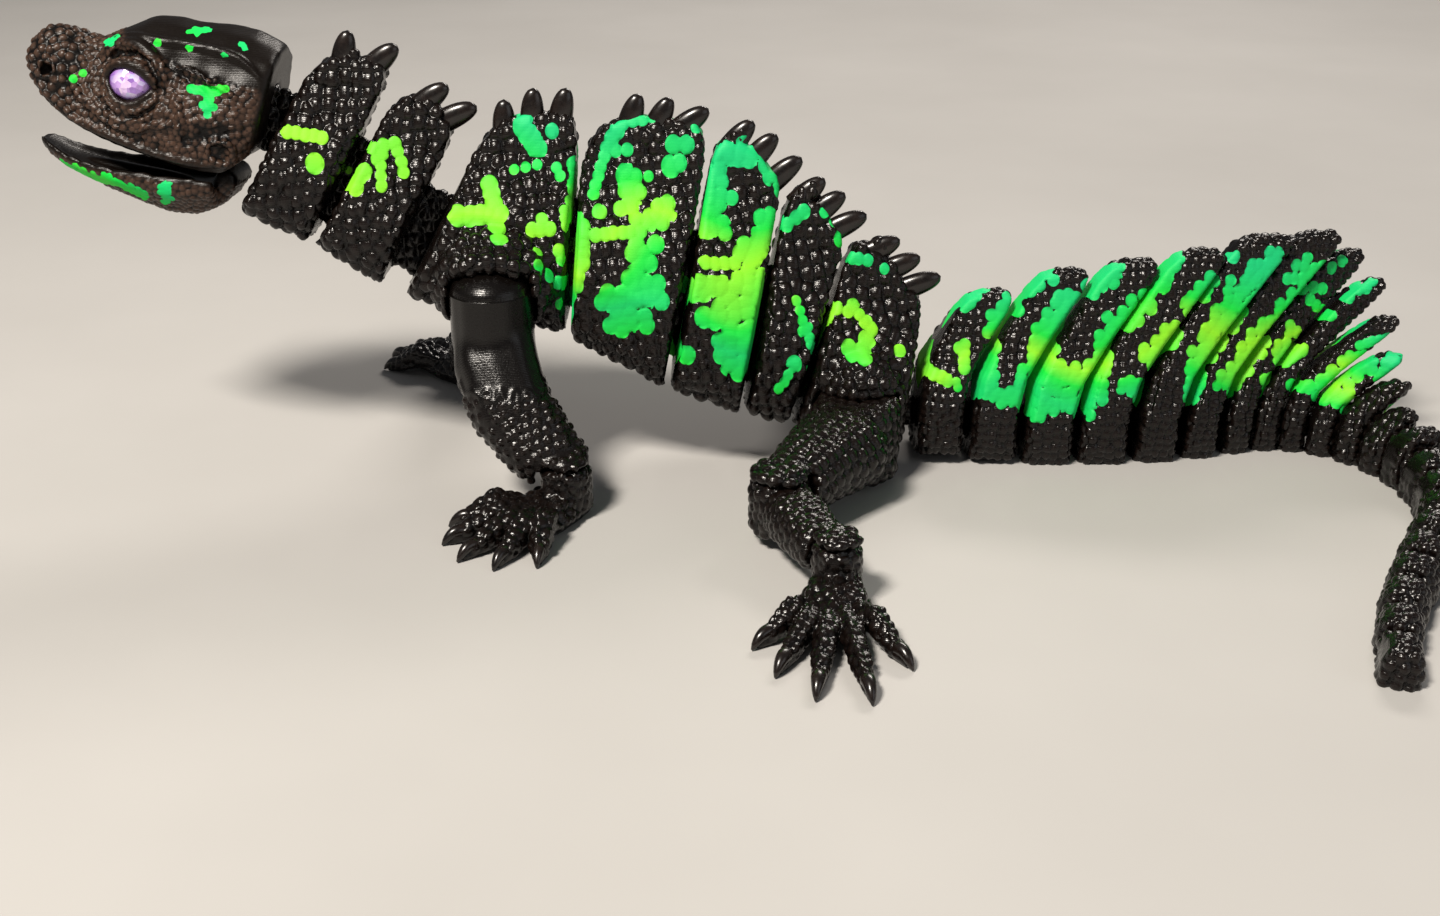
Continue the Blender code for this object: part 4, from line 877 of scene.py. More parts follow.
def nearest_seed(points, seeds):
    """Distance from each point to the nearest of some seeds, and which seed that is."""
    tree = search_tree(seeds)
    found = [tree.find(point) for point in points]
    distance = np.array([row[2] for row in found])
    return distance, np.array([row[1] for row in found], dtype=np.int64)


def stroke_mask(seeds, strokes, offset=(0.0, 0.0)):
    """Which seeds lie under the strokes of a blotch in the photograph."""
    across, down = photo_places(np.array(seeds))
    across = across + offset[0]
    down = down + offset[1]
    mask = np.zeros(len(seeds), dtype=bool)
    for x0, y0, x1, y1, radius in strokes:
        length = (x1 - x0) ** 2 + (y1 - y0) ** 2
        share = np.zeros(len(seeds))
        if length > 0:
            share = np.clip(((across - x0) * (x1 - x0) + (down - y0) * (y1 - y0)) / length, 0.0, 1.0)
        far = (across - x0 - share * (x1 - x0)) ** 2 + (down - y0 - share * (y1 - y0)) ** 2
        mask |= far < radius * radius
    return mask


def green_seeds(node, seeds):
    """Which of a node's seeds are green: as photographed on the left, and a loose echo of it on the right."""
    strokes = strokes_of(node)
    seeds = np.array(seeds)
    mask = np.zeros(len(seeds), dtype=bool)
    if not strokes or len(seeds) == 0:
        return mask
    left = seeds[:, 1] <= LEFT_LIMIT
    mask[left] = stroke_mask(seeds[left], strokes)
    if np.any(~left):
        mirrored = seeds[~left] * np.array((1.0, -1.0, 1.0))
        middle = seeds[:, 0].mean()
        drift = ECHO_DRIFT[0] * math.sin(middle * 0.7), ECHO_DRIFT[1] * math.cos(middle * 0.5)
        mask[~left] = stroke_mask(mirrored, strokes, drift)
    return mask


def bead_relief(first, second, scale):
    """How high points stand, as a share of a scale's height: domes with grooves between, or loose balls."""
    if scale.loose:
        return np.sqrt(np.clip(1.0 - (first / (scale.spacing * LOOSE_RADIUS)) ** 2, 0.0, 1.0))
    slope = np.clip((second - first) / (scale.spacing * SLOPE_WIDTH), 0.0, 1.0)
    slope = np.sqrt(1.0 - (1.0 - slope) ** 2)
    dome = 1.0 - (first / (scale.spacing * DOME_WIDTH)) ** 2
    return np.clip(SLOPE_SHARE * slope + DOME_SHARE * dome - RELIEF_DEPTH, DEEPEST, 1.0)


def scale_skin(node, skin, seeds, reaches, scale, wanted, tilt=None):
    """Raises the scales of a skin where they are wanted, flatter in its green blotches.

    The first seeds are the ones along a blotch's strokes, each with how far the green reaches round it.
    Returns the lift of each point, its share of a scale's height, and its distance inside a blotch's edge.
    """
    places = squeezed(skin.points, scale)
    seeds = np.array(seeds)
    seats = squeezed(seeds, scale)
    first, second, owner = nearest_pairs(places, search_tree(seats))
    mask = green_seeds(node, seeds)
    mask[:len(reaches)] = True
    reach = np.full(len(seeds), scale.spacing * GREEN_REACH)
    reach[:len(reaches)] = reaches
    vary = np.random.default_rng(len(seeds)).uniform(LEAST_SCALE, MOST_SCALE, len(seeds))
    rise = bead_relief(first, second, scale) * vary[owner]
    if tilt is not None:
        rise = rise + ((skin.points - seeds[owner]) @ np.array(tilt)) / scale.spacing * KEEL_RISE
    green = np.full(len(places), NO_GREEN)
    if mask.any():
        to_green, nearest = nearest_seed(places, seats[mask])
        disc = reach[mask][nearest] - to_green
        cell = disc
        if (~mask).any():
            to_black, _ = nearest_seed(places, seats[~mask])
            cell = to_black - to_green
        green = disc * wanted + cell * (1.0 - wanted)
    flat = ease(green, *FLAT_FADE)
    rise = rise * (1.0 - flat) + flat * (rise * GREEN_RELIEF + FLAT_RISE)
    return rise * scale.height * wanted, rise * wanted, green


def dress(node, skin, lift, rise, green, smooth, hue, material):
    """Moves a skin by its lift, stores what its material reads, and puts it in its node's place."""
    points = skin.points + skin.normals * lift[:, None]
    places = (points + np.array(TOY_SHIFT)) * MM
    mesh = skin.item.data
    mesh.vertices.foreach_set("co", places.ravel())
    for name, values in (("green", green), ("rise", rise), ("smooth", smooth), ("hue", hue)):
        layer = mesh.attributes.new(name, "FLOAT", "POINT")
        layer.data.foreach_set("value", np.clip(values, NO_GREEN, -NO_GREEN).astype(np.float32))
    mesh.shade_smooth()
    mesh.update()
    mesh.materials.clear()
    mesh.materials.append(material)
    skin.item.name = f"skin_{node}"
    mesh.name = skin.item.name
    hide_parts(node)
    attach(skin.item, node)


def link_hue(points):
    """How lime, middle green or mint a link's green is, from 0 to 1, in soft clouds along its height."""
    x = points[:, 0]
    z = points[:, 2]
    share = (z - z.min()) / (z.max() - z.min())
    drift = 0.07 * np.sin(x * 0.16 + 0.8) + 0.05 * np.sin(z * 0.21 + x * 0.09)
    return np.clip(np.interp(share + drift, HUE_HEIGHTS, HUE_VALUES), 0.0, 1.0)


def head_hue(points):
    return np.clip(0.62 + 0.25 * np.sin(points[:, 0] * 0.21 + points[:, 2] * 0.3), 0.0, 1.0)


# Links of the neck, torso and tail

def link_skin(node):
    """The softened skin of one link, without the solid's own plain spines."""
    shape = solid_copy(node)
    if node in LINKS:
        shape = cut_spines(shape, node)
    if node == "torso_1":
        add_shoulder_brows(shape)
    grain = TAIL_GRAIN if node.startswith("tail") else LINK_GRAIN
    return grow_skin(node, shape, grain, LINK_SOFTENING)


def add_shoulder_brows(shape):
    """A rounded brow on each side of the first link, arched over the round top of the arm's strap."""
    bmesh.ops.triangulate(shape, faces=shape.faces[:])
    tree = BVHTree.FromBMesh(shape)
    for side, label in ((LEFT, "left"), (RIGHT, "right")):
        centre, top, _ = strap_top(solid_copy(f"arm_{label}"))
        path = []
        for index in range(BROW_STEPS + 1):
            angle = math.radians(BROW_REACH * (2.0 * index / BROW_STEPS - 1.0))
            height = top - BROW_DROP + BROW_RISE * math.cos(angle)
            path.append((centre[0] + BROW_HALF * math.sin(angle), height))
        add_fold(shape, tree, path, BROW_RADIUS, BROW_HEIGHT, side, Matrix.Identity(4))


def strap_top(shape):
    """The middle, height and radius of the round, flat top of an arm's strap."""
    points = np.array([point.co for point in shape.verts])
    shape.free()
    top = points[:, 2].max()
    ring = points[points[:, 2] > top - 0.2, :2]
    centre = (ring.min(axis=0) + ring.max(axis=0)) / 2.0
    return centre, top, np.linalg.norm(ring - centre, axis=1).max()


def rounded_strap(skin, node):
    """The arm's skin with the flat top of its strap made a low dome, so that it still turns in its place."""
    centre, top, radius = strap_top(solid_copy(node))
    reach = np.linalg.norm(skin.points[:, :2] - centre, axis=1) / (radius + DOME_MARGIN)
    dome = top - DOME_HEIGHT * (1.0 - np.sqrt(np.clip(1.0 - reach ** 2, 0.0, 1.0)))
    points = skin.points.copy()
    near_top = points[:, 2] > top - DOME_HEIGHT
    points[near_top, 2] = np.minimum(points[near_top, 2], dome[near_top])
    return Skin(skin.item, points, surface_normals(skin.item.data, points), skin.edges)


def outer_weight(skin, lean):
    """One on the sides, crest and belly of a link, and nothing on the faces that meet its neighbours."""
    side = ease(np.abs(skin.normals[:, 1]), *SIDE_FACING)
    angle = math.radians(lean)
    upright = np.abs(skin.normals @ np.array((math.sin(angle), 0.0, math.cos(angle))))
    return np.maximum(side, ease(upright, *UP_FACING))


def make_link(node, material):
    rng = random.Random(len(node) * 97 + ord(node[-1]) * 13 + ord(node[0]))
    skin = link_skin(node)
    tail = node.startswith("tail")
    lean = TAIL_LEAN if tail else LINKS[node].lean
    scale = TAIL_SCALE if tail else LINK_SCALE
    weight = outer_weight(skin, lean)
    painted, reaches = stroke_seeds(node, skin, scale)
    rows = side_seeds(skin, weight > ROWS_WEIGHT, scale, lean, rng)
    seeds = painted + clear_of(rows, painted, scale.spacing * ROW_CLEAR)
    seeds += scattered_seeds(skin, weight > STREWN_WEIGHT, scale.spacing, rng, seeds)
    back = (math.cos(math.radians(lean)), 0.0, -math.sin(math.radians(lean)))
    lift, rise, green = scale_skin(node, skin, seeds, reaches, scale, weight, back)
    hue = link_hue(skin.points)
    if node.startswith("neck"):
        hue = hue * NECK_HUE
    dress(node, skin, lift, rise, green, 1.0 - weight, hue, material)


def spine_piece(name, rows):
    """Smooth, flattened spines with round tips, each row a base, a direction and a size."""
    shape = bmesh.new()
    for base, direction, size in rows:
        across = Vector((direction.z, 0.0, -direction.x))
        loops = []
        for step in range(SPINE_RINGS + 1):
            share = step / SPINE_RINGS
            reach = -SPINE_SINK + (SPINE_LENGTH * size + SPINE_SINK) * share
            taper = math.sqrt(max(0.0, 1.0 - share ** 3))
            sweep = across * (0.5 * size * share * share)
            ring = []
            for index in range(SPINE_SIDES):
                angle = 2.0 * math.pi * index / SPINE_SIDES
                width = across * (math.cos(angle) * SPINE_HALF_LENGTH * size * taper)
                depth = Vector((0.0, math.sin(angle) * SPINE_HALF_WIDTH * size * taper, 0.0))
                ring.append(shape.verts.new(base + direction * reach + sweep + width + depth))
            loops.append(ring)
        join_rings(shape, loops)
    bmesh.ops.remove_doubles(shape, verts=shape.verts[:], dist=0.0001)
    bmesh.ops.recalc_face_normals(shape, faces=shape.faces[:])
    return placed_piece(name, shape)


def placed_piece(name, shape):
    """Turns a mesh in the toy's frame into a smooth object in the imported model's frame."""
    for point in shape.verts:
        point.co = (point.co + TOY_SHIFT) * MM
    item = new_item(name, shape)
    item.data.shade_smooth()
    return item


def crown_drop(crown, length, along_top):
    """How far a link's rounded top lies below the line between its top corners."""
    past_front = max(0.0, 1.0 - along_top * length / crown.front)
    past_rear = max(0.0, 1.0 - (1.0 - along_top) * length / crown.rear)
    past = min(1.0, max(past_front, past_rear))
    return crown.height * (1.0 - math.sqrt(1.0 - past ** 2))


def make_spines(node, material):
    link = LINKS[node]
    count, start, end, lean_start, lean_end = link.spines
    _, front, _, rear = [Vector((x, 0.0, z)) for x, z in link.side]
    rows = []
    for index in range(count):
        share = index / (count - 1)
        along_top = start + (end - start) * share
        lean = math.radians(lean_start + (lean_end - lean_start) * share ** 2)
        drop = SPINE_ROOT + crown_drop(link.crown, (rear - front).length, along_top)
        base = front.lerp(rear, along_top) - UP * drop
        rows.append((base, Vector((math.sin(lean), 0.0, math.cos(lean))), 1.0))
    piece = spine_piece(f"spines_{node}", rows)
    piece.data.materials.append(material)
    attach(piece, node)


# Limbs

def wound_seeds(skin, start, end, spacing):
    """Seeds in staggered rings round a limb, from one end of its axis to the other."""
    axis = (end - start).normalized()
    across = axis.orthogonal().normalized()
    over = axis.cross(across)
    offset = skin.points - np.array(start)
    along = offset @ np.array(axis)
    radial = np.linalg.norm(offset - along[:, None] * np.array(axis), axis=1)
    tree = search_tree(skin.points)
    seeds = []
    row = 0
    station = along.min() + spacing * WOUND_START
    while station < along.max():
        ring = np.abs(along - station) < spacing * WOUND_BAND
        if ring.any():
            reach = radial[ring].mean()
            count = max(4, round(2.0 * math.pi * reach / spacing))
            for index in range(count):
                angle = 2.0 * math.pi * (index + 0.5 * (row % 2)) / count
                outward = across * math.cos(angle) + over * math.sin(angle)
                _, order, _ = tree.find(start + axis * station + outward * reach)
                seeds.append(skin.points[order])
        station += spacing * ROW_RISE
        row += 1
    kept = []
    for seed in seeds:
        if all(np.linalg.norm(seed - other) > spacing * WOUND_CLEAR for other in kept):
            kept.append(seed)
    return kept


def limb_axis(node):
    """Where a limb starts and ends: the joint that carries it, and the joint at its other end."""
    name, label = node.split("_")
    after = {"arm": "hand", "thigh": "shank", "shank": "foot"}[name]
    start = joint_place(f"{node}_turn") - TOY_SHIFT
    return start, joint_place(f"{after}_{label}_turn") - TOY_SHIFT


def make_limb(node, material, scale):
    """A thigh or shank with keeled scales that lean towards its far end, or an arm with loose round scales
    below its smooth strap.
    """
    rng = random.Random(len(node) * 31 + ord(node[0]))
    skin = grow_skin(node, rounded_clay(node), LIMB_GRAIN, LIGHT_SOFTENING)
    if scale.loose:
        skin = rounded_strap(skin, node)
    start, end = limb_axis(node)
    weight = np.ones(len(skin.points))
    tilt = (end - start).normalized()
    if scale.loose:
        weight = arm_weight(skin)
        tilt = None
    seeds = wound_seeds(skin, start, end, scale.spacing)
    seeds += scattered_seeds(skin, weight > -1.0, scale.spacing, rng, seeds)
    lift, rise, green = scale_skin(node, skin, seeds, [], scale, weight, tilt)
    if scale.loose:
        lift += strap_lift(skin, weight)
    dress(node, skin, lift, rise, green, 1.0 - weight, head_hue(skin.points), material)


def make_paw(node, material):
    rng = random.Random(len(node) * 37 + ord(node[0]))
    skin = grow_skin(node, solid_copy(node), PAW_GRAIN, LINK_SOFTENING)
    weight = ease(skin.points[:, 2], *PAW_FADE)
    seeds = scattered_seeds(skin, weight > -1.0, PAW_SCALE.spacing, rng)
    lift, rise, green = scale_skin(node, skin, seeds, [], PAW_SCALE, weight)
    dress(node, skin, lift, rise, green, 1.0 - weight, head_hue(skin.points), material)


def strap_edge(skin):
    """How far above the strap's ragged lower edge a point of an arm is."""
    ragged = 0.8 * np.sin(skin.points[:, 0] * 2.1) + 0.5 * np.sin(skin.points[:, 1] * 3.1 + 1.0)
    return skin.points[:, 2] - STRAP_END - ragged


def arm_weight(skin):
    """Scales on the lower arm only: the strap over it is smooth."""
    return ease(-strap_edge(skin), *STRAP_FADE)


def strap_lift(skin, weight):
    """The strap stands a little proud, with a thick rim along its lower edge."""
    edge = strap_edge(skin)
    rim = np.exp(-((edge - RIM_PLACE) / RIM_WIDTH) ** 2)
    return (1.0 - weight) * (STRAP_PROUD + RIM_HEIGHT * rim) * ease(-skin.normals[:, 2], *STRAP_TOP_FADE)


def paw_rows(kind, side):
    """The place, heading, digits and palm width of one paw."""
    if kind == "hand":
        x, out = WRIST[side]
        heading = HAND_HEADING[side]
        digits = FINGERS
    else:
        knee_x, knee_out = KNEE[side]
        turn = math.radians(SHANK_HEADING[side])
        x = knee_x + SHANK_LENGTH * math.cos(turn)
        out = knee_out - SHANK_LENGTH * math.sin(turn)
        heading = FOOT_HEADING[side]
        digits = TOES
    if side == RIGHT:
        heading = -heading
    return Vector((x, out * side, 0.0)), heading, digits, PALM_HALF[kind]


def make_claws(kind, side, node, material):
    """A curved, pointed claw on the end of each digit."""
    wrist, heading, digits, half = paw_rows(kind, side)
    turn = math.radians(heading)
    forward = Vector((math.cos(turn), math.sin(turn), 0.0))
    across = Vector((-forward.y, forward.x, 0.0))
    shape = bmesh.new()
    for spread, reach in digits:
        aside = math.sin(math.radians(spread)) * half * KNUCKLE_OUT
        start = wrist + forward * (PAW_LENGTH * KNUCKLE_ALONG) + across * aside
        angle = math.radians(heading + spread * SPREAD_SHARE)
        direction = Vector((math.cos(angle), math.sin(angle), 0.0))
        path = []
        radii = []
        for step in range(CLAW_STEPS + 1):
            share = step / CLAW_STEPS
            place = start + direction * (reach - CLAW_LENGTH * CLAW_ROOT + CLAW_LENGTH * share)
            radius = CLAW_RADIUS * math.sqrt(max(0.02, 1.0 - share ** 1.5))
            arch = CLAW_HEIGHT + 0.6 * math.sin(share * math.pi) - 2.2 * share * share
            place.z = max(radius * 0.9, arch)
            path.append(place)
            radii.append(radius)
        add_tube(shape, path, radii, 14)
    bmesh.ops.recalc_face_normals(shape, faces=shape.faces[:])
    piece = placed_piece(f"claws_{node}", shape)
    piece.data.materials.append(material)
    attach(piece, node)


# The head and jaw

def side_surface(tree, place, side, frame_of_head):
    """Where a place (u, v) lies on the head's side, with the way out of the surface there."""
    origin = frame_of_head @ Vector((place[0], RAY_START * side, place[1]))
    inward = frame_of_head.to_3x3() @ Vector((0.0, -side, 0.0))
    hit, normal, _, _ = tree.ray_cast(origin, inward)
    return hit, normal


def add_fold(shape, tree, path, radius, height, side, frame_of_head):
    """A rounded fold of skin along a path on the side of the head."""
    fine = smooth_path(path)
    places = []
    radii = []
    for index, place in enumerate(fine):
        hit, normal = side_surface(tree, place, side, frame_of_head)
        if hit is None:
            continue
        end = min(index, len(fine) - 1 - index) / (len(fine) - 1)
        swell = THIN_END + (1.0 - THIN_END) * min(1.0, end * 5.0)
        outward = normal if normal.y * side > 0 else -normal
        places.append(hit - outward * (radius - height) * swell)
        radii.append(radius * swell)
    if len(places) > 2:
        add_tube(shape, places, radii)


def smooth_path(path, steps=5):
    """A smooth path through points, by Catmull-Rom curves."""
    points = [Vector(place) for place in path]
    points = [points[0] * 2 - points[1]] + points + [points[-1] * 2 - points[-2]]
    fine = []
    for a, b, c, d in zip(points, points[1:], points[2:], points[3:]):
        for step in range(steps):
            t = step / steps
            fine.append(0.5 * ((2 * b) + (c - a) * t + (2 * a - 5 * b + 4 * c - d) * t * t
                               + (3 * b - 3 * c + d - a) * t * t * t))
    fine.append(points[-2])
    return fine


def ring_path(centre, radius):
    places = []
    for index in range(RING_STEPS + 1):
        angle = 2.0 * math.pi * index / RING_STEPS
        places.append((centre[0] + radius * math.cos(angle), centre[1] + radius * math.sin(angle)))
    return places


def moved(points, matrix):
    """Points carried from one frame to another by a matrix."""
    rows = np.array(matrix)
    return points @ rows[:3, :3].T + rows[:3, 3]


def closed_path(path):
    return smooth_path(list(path) + [path[0]])


def inside_path(path, across, up):
    """Which places lie inside a closed path, by the crossings of a line from each."""
    inside = np.zeros(len(across), dtype=bool)
    for (x0, y0), (x1, y1) in zip(path, path[1:] + path[:1]):
        level = (y0 > up) != (y1 > up)
        crossing = (x1 - x0) * (up - y0) / (y1 - y0 if y1 != y0 else 1.0) + x0
        inside ^= level & (across < crossing)
    return inside


def head_clay():
    """The head's solid, rounded, with its folds, crest ridges, lids and rings laid on it."""
    place = head_frame()
    clay = rounded_clay("head")
    bmesh.ops.triangulate(clay, faces=clay.faces[:])
    tree = BVHTree.FromBMesh(clay)
    for side in (LEFT, RIGHT):
        for radius, height, path in FOLDS:
            add_fold(clay, tree, path, radius, height, side, place)
        for radius, height, centre, reach in RINGS:
            add_fold(clay, tree, ring_path(centre, reach), radius, height, side, place)
        for radius, path in LIDS:
            lid = [place @ Vector((u, out * side, v)) for u, v, out in smooth_path(path)]
            add_tube(clay, lid, [radius * lid_swell(index, len(lid)) for index in range(len(lid))])
    return clay


def lid_swell(index, count):
    """A lid is thin at the corners of the eye and thick between them."""
    return THIN_END + (1.0 - THIN_END) * math.sin(math.pi * index / (count - 1)) ** 0.6


def open_eyes(skin, place):
    """Moves the skin inside the eye's opening back behind the gem, which leaves a dark rim round it."""
    local = moved(skin.points, place.inverted())
    path = [(spot[0], spot[1]) for spot in closed_path(EYE_OPENING)[:-1]]
    opening = inside_path(path, local[:, 0], local[:, 2]) & (np.abs(local[:, 1]) > SOCKET_DEPTH)
    local[opening, 1] = np.sign(local[opening, 1]) * SOCKET_DEPTH
    points = moved(local, place)
    return Skin(skin.item, points, surface_normals(skin.item.data, points), skin.edges)


def hollow_lift(u, v):
    """How deep the hollows and creases of the head's sides are at places in its own view."""
    lift = np.zeros(len(u))
    for width, depth, path in CREASES:
        line = np.array(smooth_path(path))
        away = np.full(len(u), 100.0)
        for place_u, place_v in line:
            away = np.minimum(away, np.hypot(u - place_u, v - place_v))
        lift -= depth * np.exp(-(away / width) ** 2)
    for place_u, place_v, radius, depth in HOLLOWS:
        lift -= depth * np.exp(-((u - place_u) ** 2 + (v - place_v) ** 2) / radius ** 2)
    return lift


def wrinkle_lift(u, v):
    """Fine folds of skin that run round the eye, and wander over the cheek."""
    across = u - EYE_PLACE[0]
    up = v - EYE_PLACE[2]
    reach = np.hypot(across, up)
    turn = np.arctan2(up, across)
    wander = 1.9 * np.sin(2.0 * turn + 0.6) + 1.2 * np.sin(5.0 * turn) + 0.8 * np.sin(u * 0.9 + v * 1.3)
    rings = np.sin(2.0 * math.pi * reach / WRINKLE_SPACING + wander)
    patches = 0.35 + 0.65 * np.sin(1.5 * turn + 0.5 * reach) ** 2
    near = ease(reach, 5.0, 6.5) * ease(-reach, -15.0, -8.0) * patches
    cheek = np.sin(u * 1.9 + 2.2 * np.sin(v * 0.55)) * np.sin(v * 1.7 + 0.8 * np.sin(u * 0.6))
    return WRINKLE_HEIGHT * (rings * near + 0.9 * cheek * (1.0 - near))


def make_head(material):
    rng = random.Random(7)
    place = head_frame()
    skin = grow_skin("head", head_clay(), HEAD_GRAIN, LIGHT_SOFTENING)
    skin = open_eyes(skin, place)
    local = moved(skin.points, place.inverted())
    u = local[:, 0]
    v = local[:, 2]
    crest = ease(v - np.interp(u, *CREST_EDGE), *CREST_FADE)
    lip = ease(-v, *LIP_FADE_UP) * ease(-u, *LIP_FADE_AHEAD)
    rear = ease(-u, *REAR_FADE)
    inner = ease(-skin.normals @ np.array(place.to_3x3() @ UP), *UNDER_FADE)
    eye = ease(-np.hypot((u - EYE_PLACE[0]) / EYE_STRETCH, v - EYE_PLACE[2]), *EYE_FADE)
    weight = 1.0 - np.clip(crest + rear + inner + LIP_SHARE * lip + EYE_SHARE * eye, 0.0, 1.0)
    painted, reaches = stroke_seeds("head", skin, HEAD_SCALE)
    seeds = painted + scattered_seeds(skin, u > SNOUT_START, SNOUT_SPACING, rng, painted)
    seeds += scattered_seeds(skin, u <= SNOUT_START, HEAD_SCALE.spacing, rng, seeds)
    lift, rise, green = scale_skin("head", skin, seeds, reaches, HEAD_SCALE, weight)
    side_facing = ease(np.abs(skin.normals[:, 1]), *HEAD_SIDE_FADE)
    hollows = hollow_lift(u, v) * side_facing
    lift += hollows
    # The hollows and creases also darken the colour: painted shade
    rise += HOLLOW_SHADE * hollows
    lift *= 1.0 + SNOUT_RELIEF * ease(u, *SNOUT_FADE)
    lift += wrinkle_lift(u, v) * side_facing * weight
    dress("head", skin, lift, rise, green, 1.0 - weight, head_hue(skin.points), material)


def make_jaw(material):
    rng = random.Random(11)
    place = jaw_frame()
    skin = grow_skin("jaw", jaw_clay(), HEAD_GRAIN, LIGHT_SOFTENING)
    local = moved(skin.points, place.inverted())
    inner = ease(skin.normals @ np.array(place.to_3x3() @ UP), *JAW_INNER_FADE)
    below = np.interp(local[:, 0], *JAW_EDGE) - local[:, 2]
    weight = (1.0 - inner) * ease(below, *JAW_LIP_FADE)
    painted, reaches = stroke_seeds("jaw", skin, HEAD_SCALE)
    seeds = painted + scattered_seeds(skin, weight > -1.0, HEAD_SCALE.spacing, rng, painted)
    lift, rise, green = scale_skin("jaw", skin, seeds, reaches, HEAD_SCALE, weight)
    outside = skin.normals[:, 1] < JAW_RIGHT_FACING
    green = np.where(outside & (inner < 0.5), green, NO_GREEN)
    dress("jaw", skin, lift, rise, green, 1.0 - weight, head_hue(skin.points), material)


def jaw_clay():
    """The jaw's solid, rounded, with a tongue in its trough."""
    place = jaw_frame()
    clay = rounded_clay("jaw")
    tongue = [place @ Vector((u, 0.0, v)) for u, v in smooth_path(TONGUE)]
    radii = [TONGUE_RADIUS * lid_swell(index, len(tongue)) for index in range(len(tongue))]
    add_tube(clay, tongue, radii, 14)
    return clay


def make_eyes(material):
    place = head_frame()
    for side, node in ((LEFT, "eye_left"), (RIGHT, "eye_right")):
        shape = bmesh.new()
        bmesh.ops.create_uvsphere(shape, u_segments=48, v_segments=32, radius=1.0)
        u, out, v = EYE_PLACE
        rim = [math.hypot(point.co.x, point.co.z) for point in shape.verts]
        for point in shape.verts:
            local = Vector((u + point.co.x * EYE_HALF[0], side * out + point.co.y * EYE_HALF[1],
                            v + point.co.z * EYE_HALF[2]))
            point.co = place @ local
        piece = placed_piece(f"gem_{node}", shape)
        piece.data.attributes.new("rim", "FLOAT", "POINT").data.foreach_set("value", rim)
        piece.data.materials.append(material)
        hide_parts(node)
        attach(piece, "head")


# Materials

class Graph:
    """A short way to add and join a material's nodes."""

    def __init__(self, name):
        self.material = bpy.data.materials.new(name)
        self.material.use_nodes = True
        self.nodes = self.material.node_tree.nodes
        self.links = self.material.node_tree.links
        self.shader = self.nodes["Principled BSDF"]

    def add(self, kind, **settings):
        node = self.nodes.new(kind)
        for name, value in settings.items():
            setattr(node, name, value)
        return node

    def join(self, source, target):
        self.links.new(source, target)

    def reading(self, name):
        return self.add("ShaderNodeAttribute", attribute_name=name).outputs["Fac"]

    def ramp(self, source, stops):
        node = self.add("ShaderNodeValToRGB")
        bar = node.color_ramp
        while len(bar.elements) < len(stops):
            bar.elements.new(0.5)
        for element, (place, colour) in zip(bar.elements, stops):
            element.position = place
            element.color = tuple(colour) + (1.0,) if len(colour) == 3 else colour
        self.join(source, node.inputs["Fac"])
        return node.outputs["Color"]

    def scaled(self, source, low, high, new_low=0.0, new_high=1.0):
        node = self.add("ShaderNodeMapRange")
        node.inputs["From Min"].default_value = low
        node.inputs["From Max"].default_value = high
        node.inputs["To Min"].default_value = new_low
        node.inputs["To Max"].default_value = new_high
        self.join(source, node.inputs["Value"])
        return node.outputs["Result"]

    def mixed(self, share, first, second):
        node = self.add("ShaderNodeMix", data_type="RGBA")
        self.join(share, node.inputs["Factor"])
        for source, socket in ((first, node.inputs[6]), (second, node.inputs[7])):
            if isinstance(source, tuple):
                socket.default_value = source + (1.0,)
            else:
                self.join(source, socket)
        return node.outputs[2]

    def texture(self, kind, inputs, **settings):
        """A texture in the object's own coordinates, with some of its inputs set."""
        node = self.add(kind, **settings)
        for name, value in inputs.items():
            node.inputs[name].default_value = value
        coordinates = self.add("ShaderNodeTexCoord")
        self.join(coordinates.outputs["Object"], node.inputs["Vector"])
        return node

    def noise(self, scale, detail=4.0, roughness=0.55):
        inputs = {"Scale": scale, "Detail": detail, "Roughness": roughness}
        return self.texture("ShaderNodeTexNoise", inputs).outputs["Fac"]

    def bump(self, height, strength, distance):
        node = self.add("ShaderNodeBump")
        node.inputs["Strength"].default_value = strength
        node.inputs["Distance"].default_value = distance
        self.join(height, node.inputs["Height"])
        self.join(node.outputs["Normal"], self.shader.inputs["Normal"])


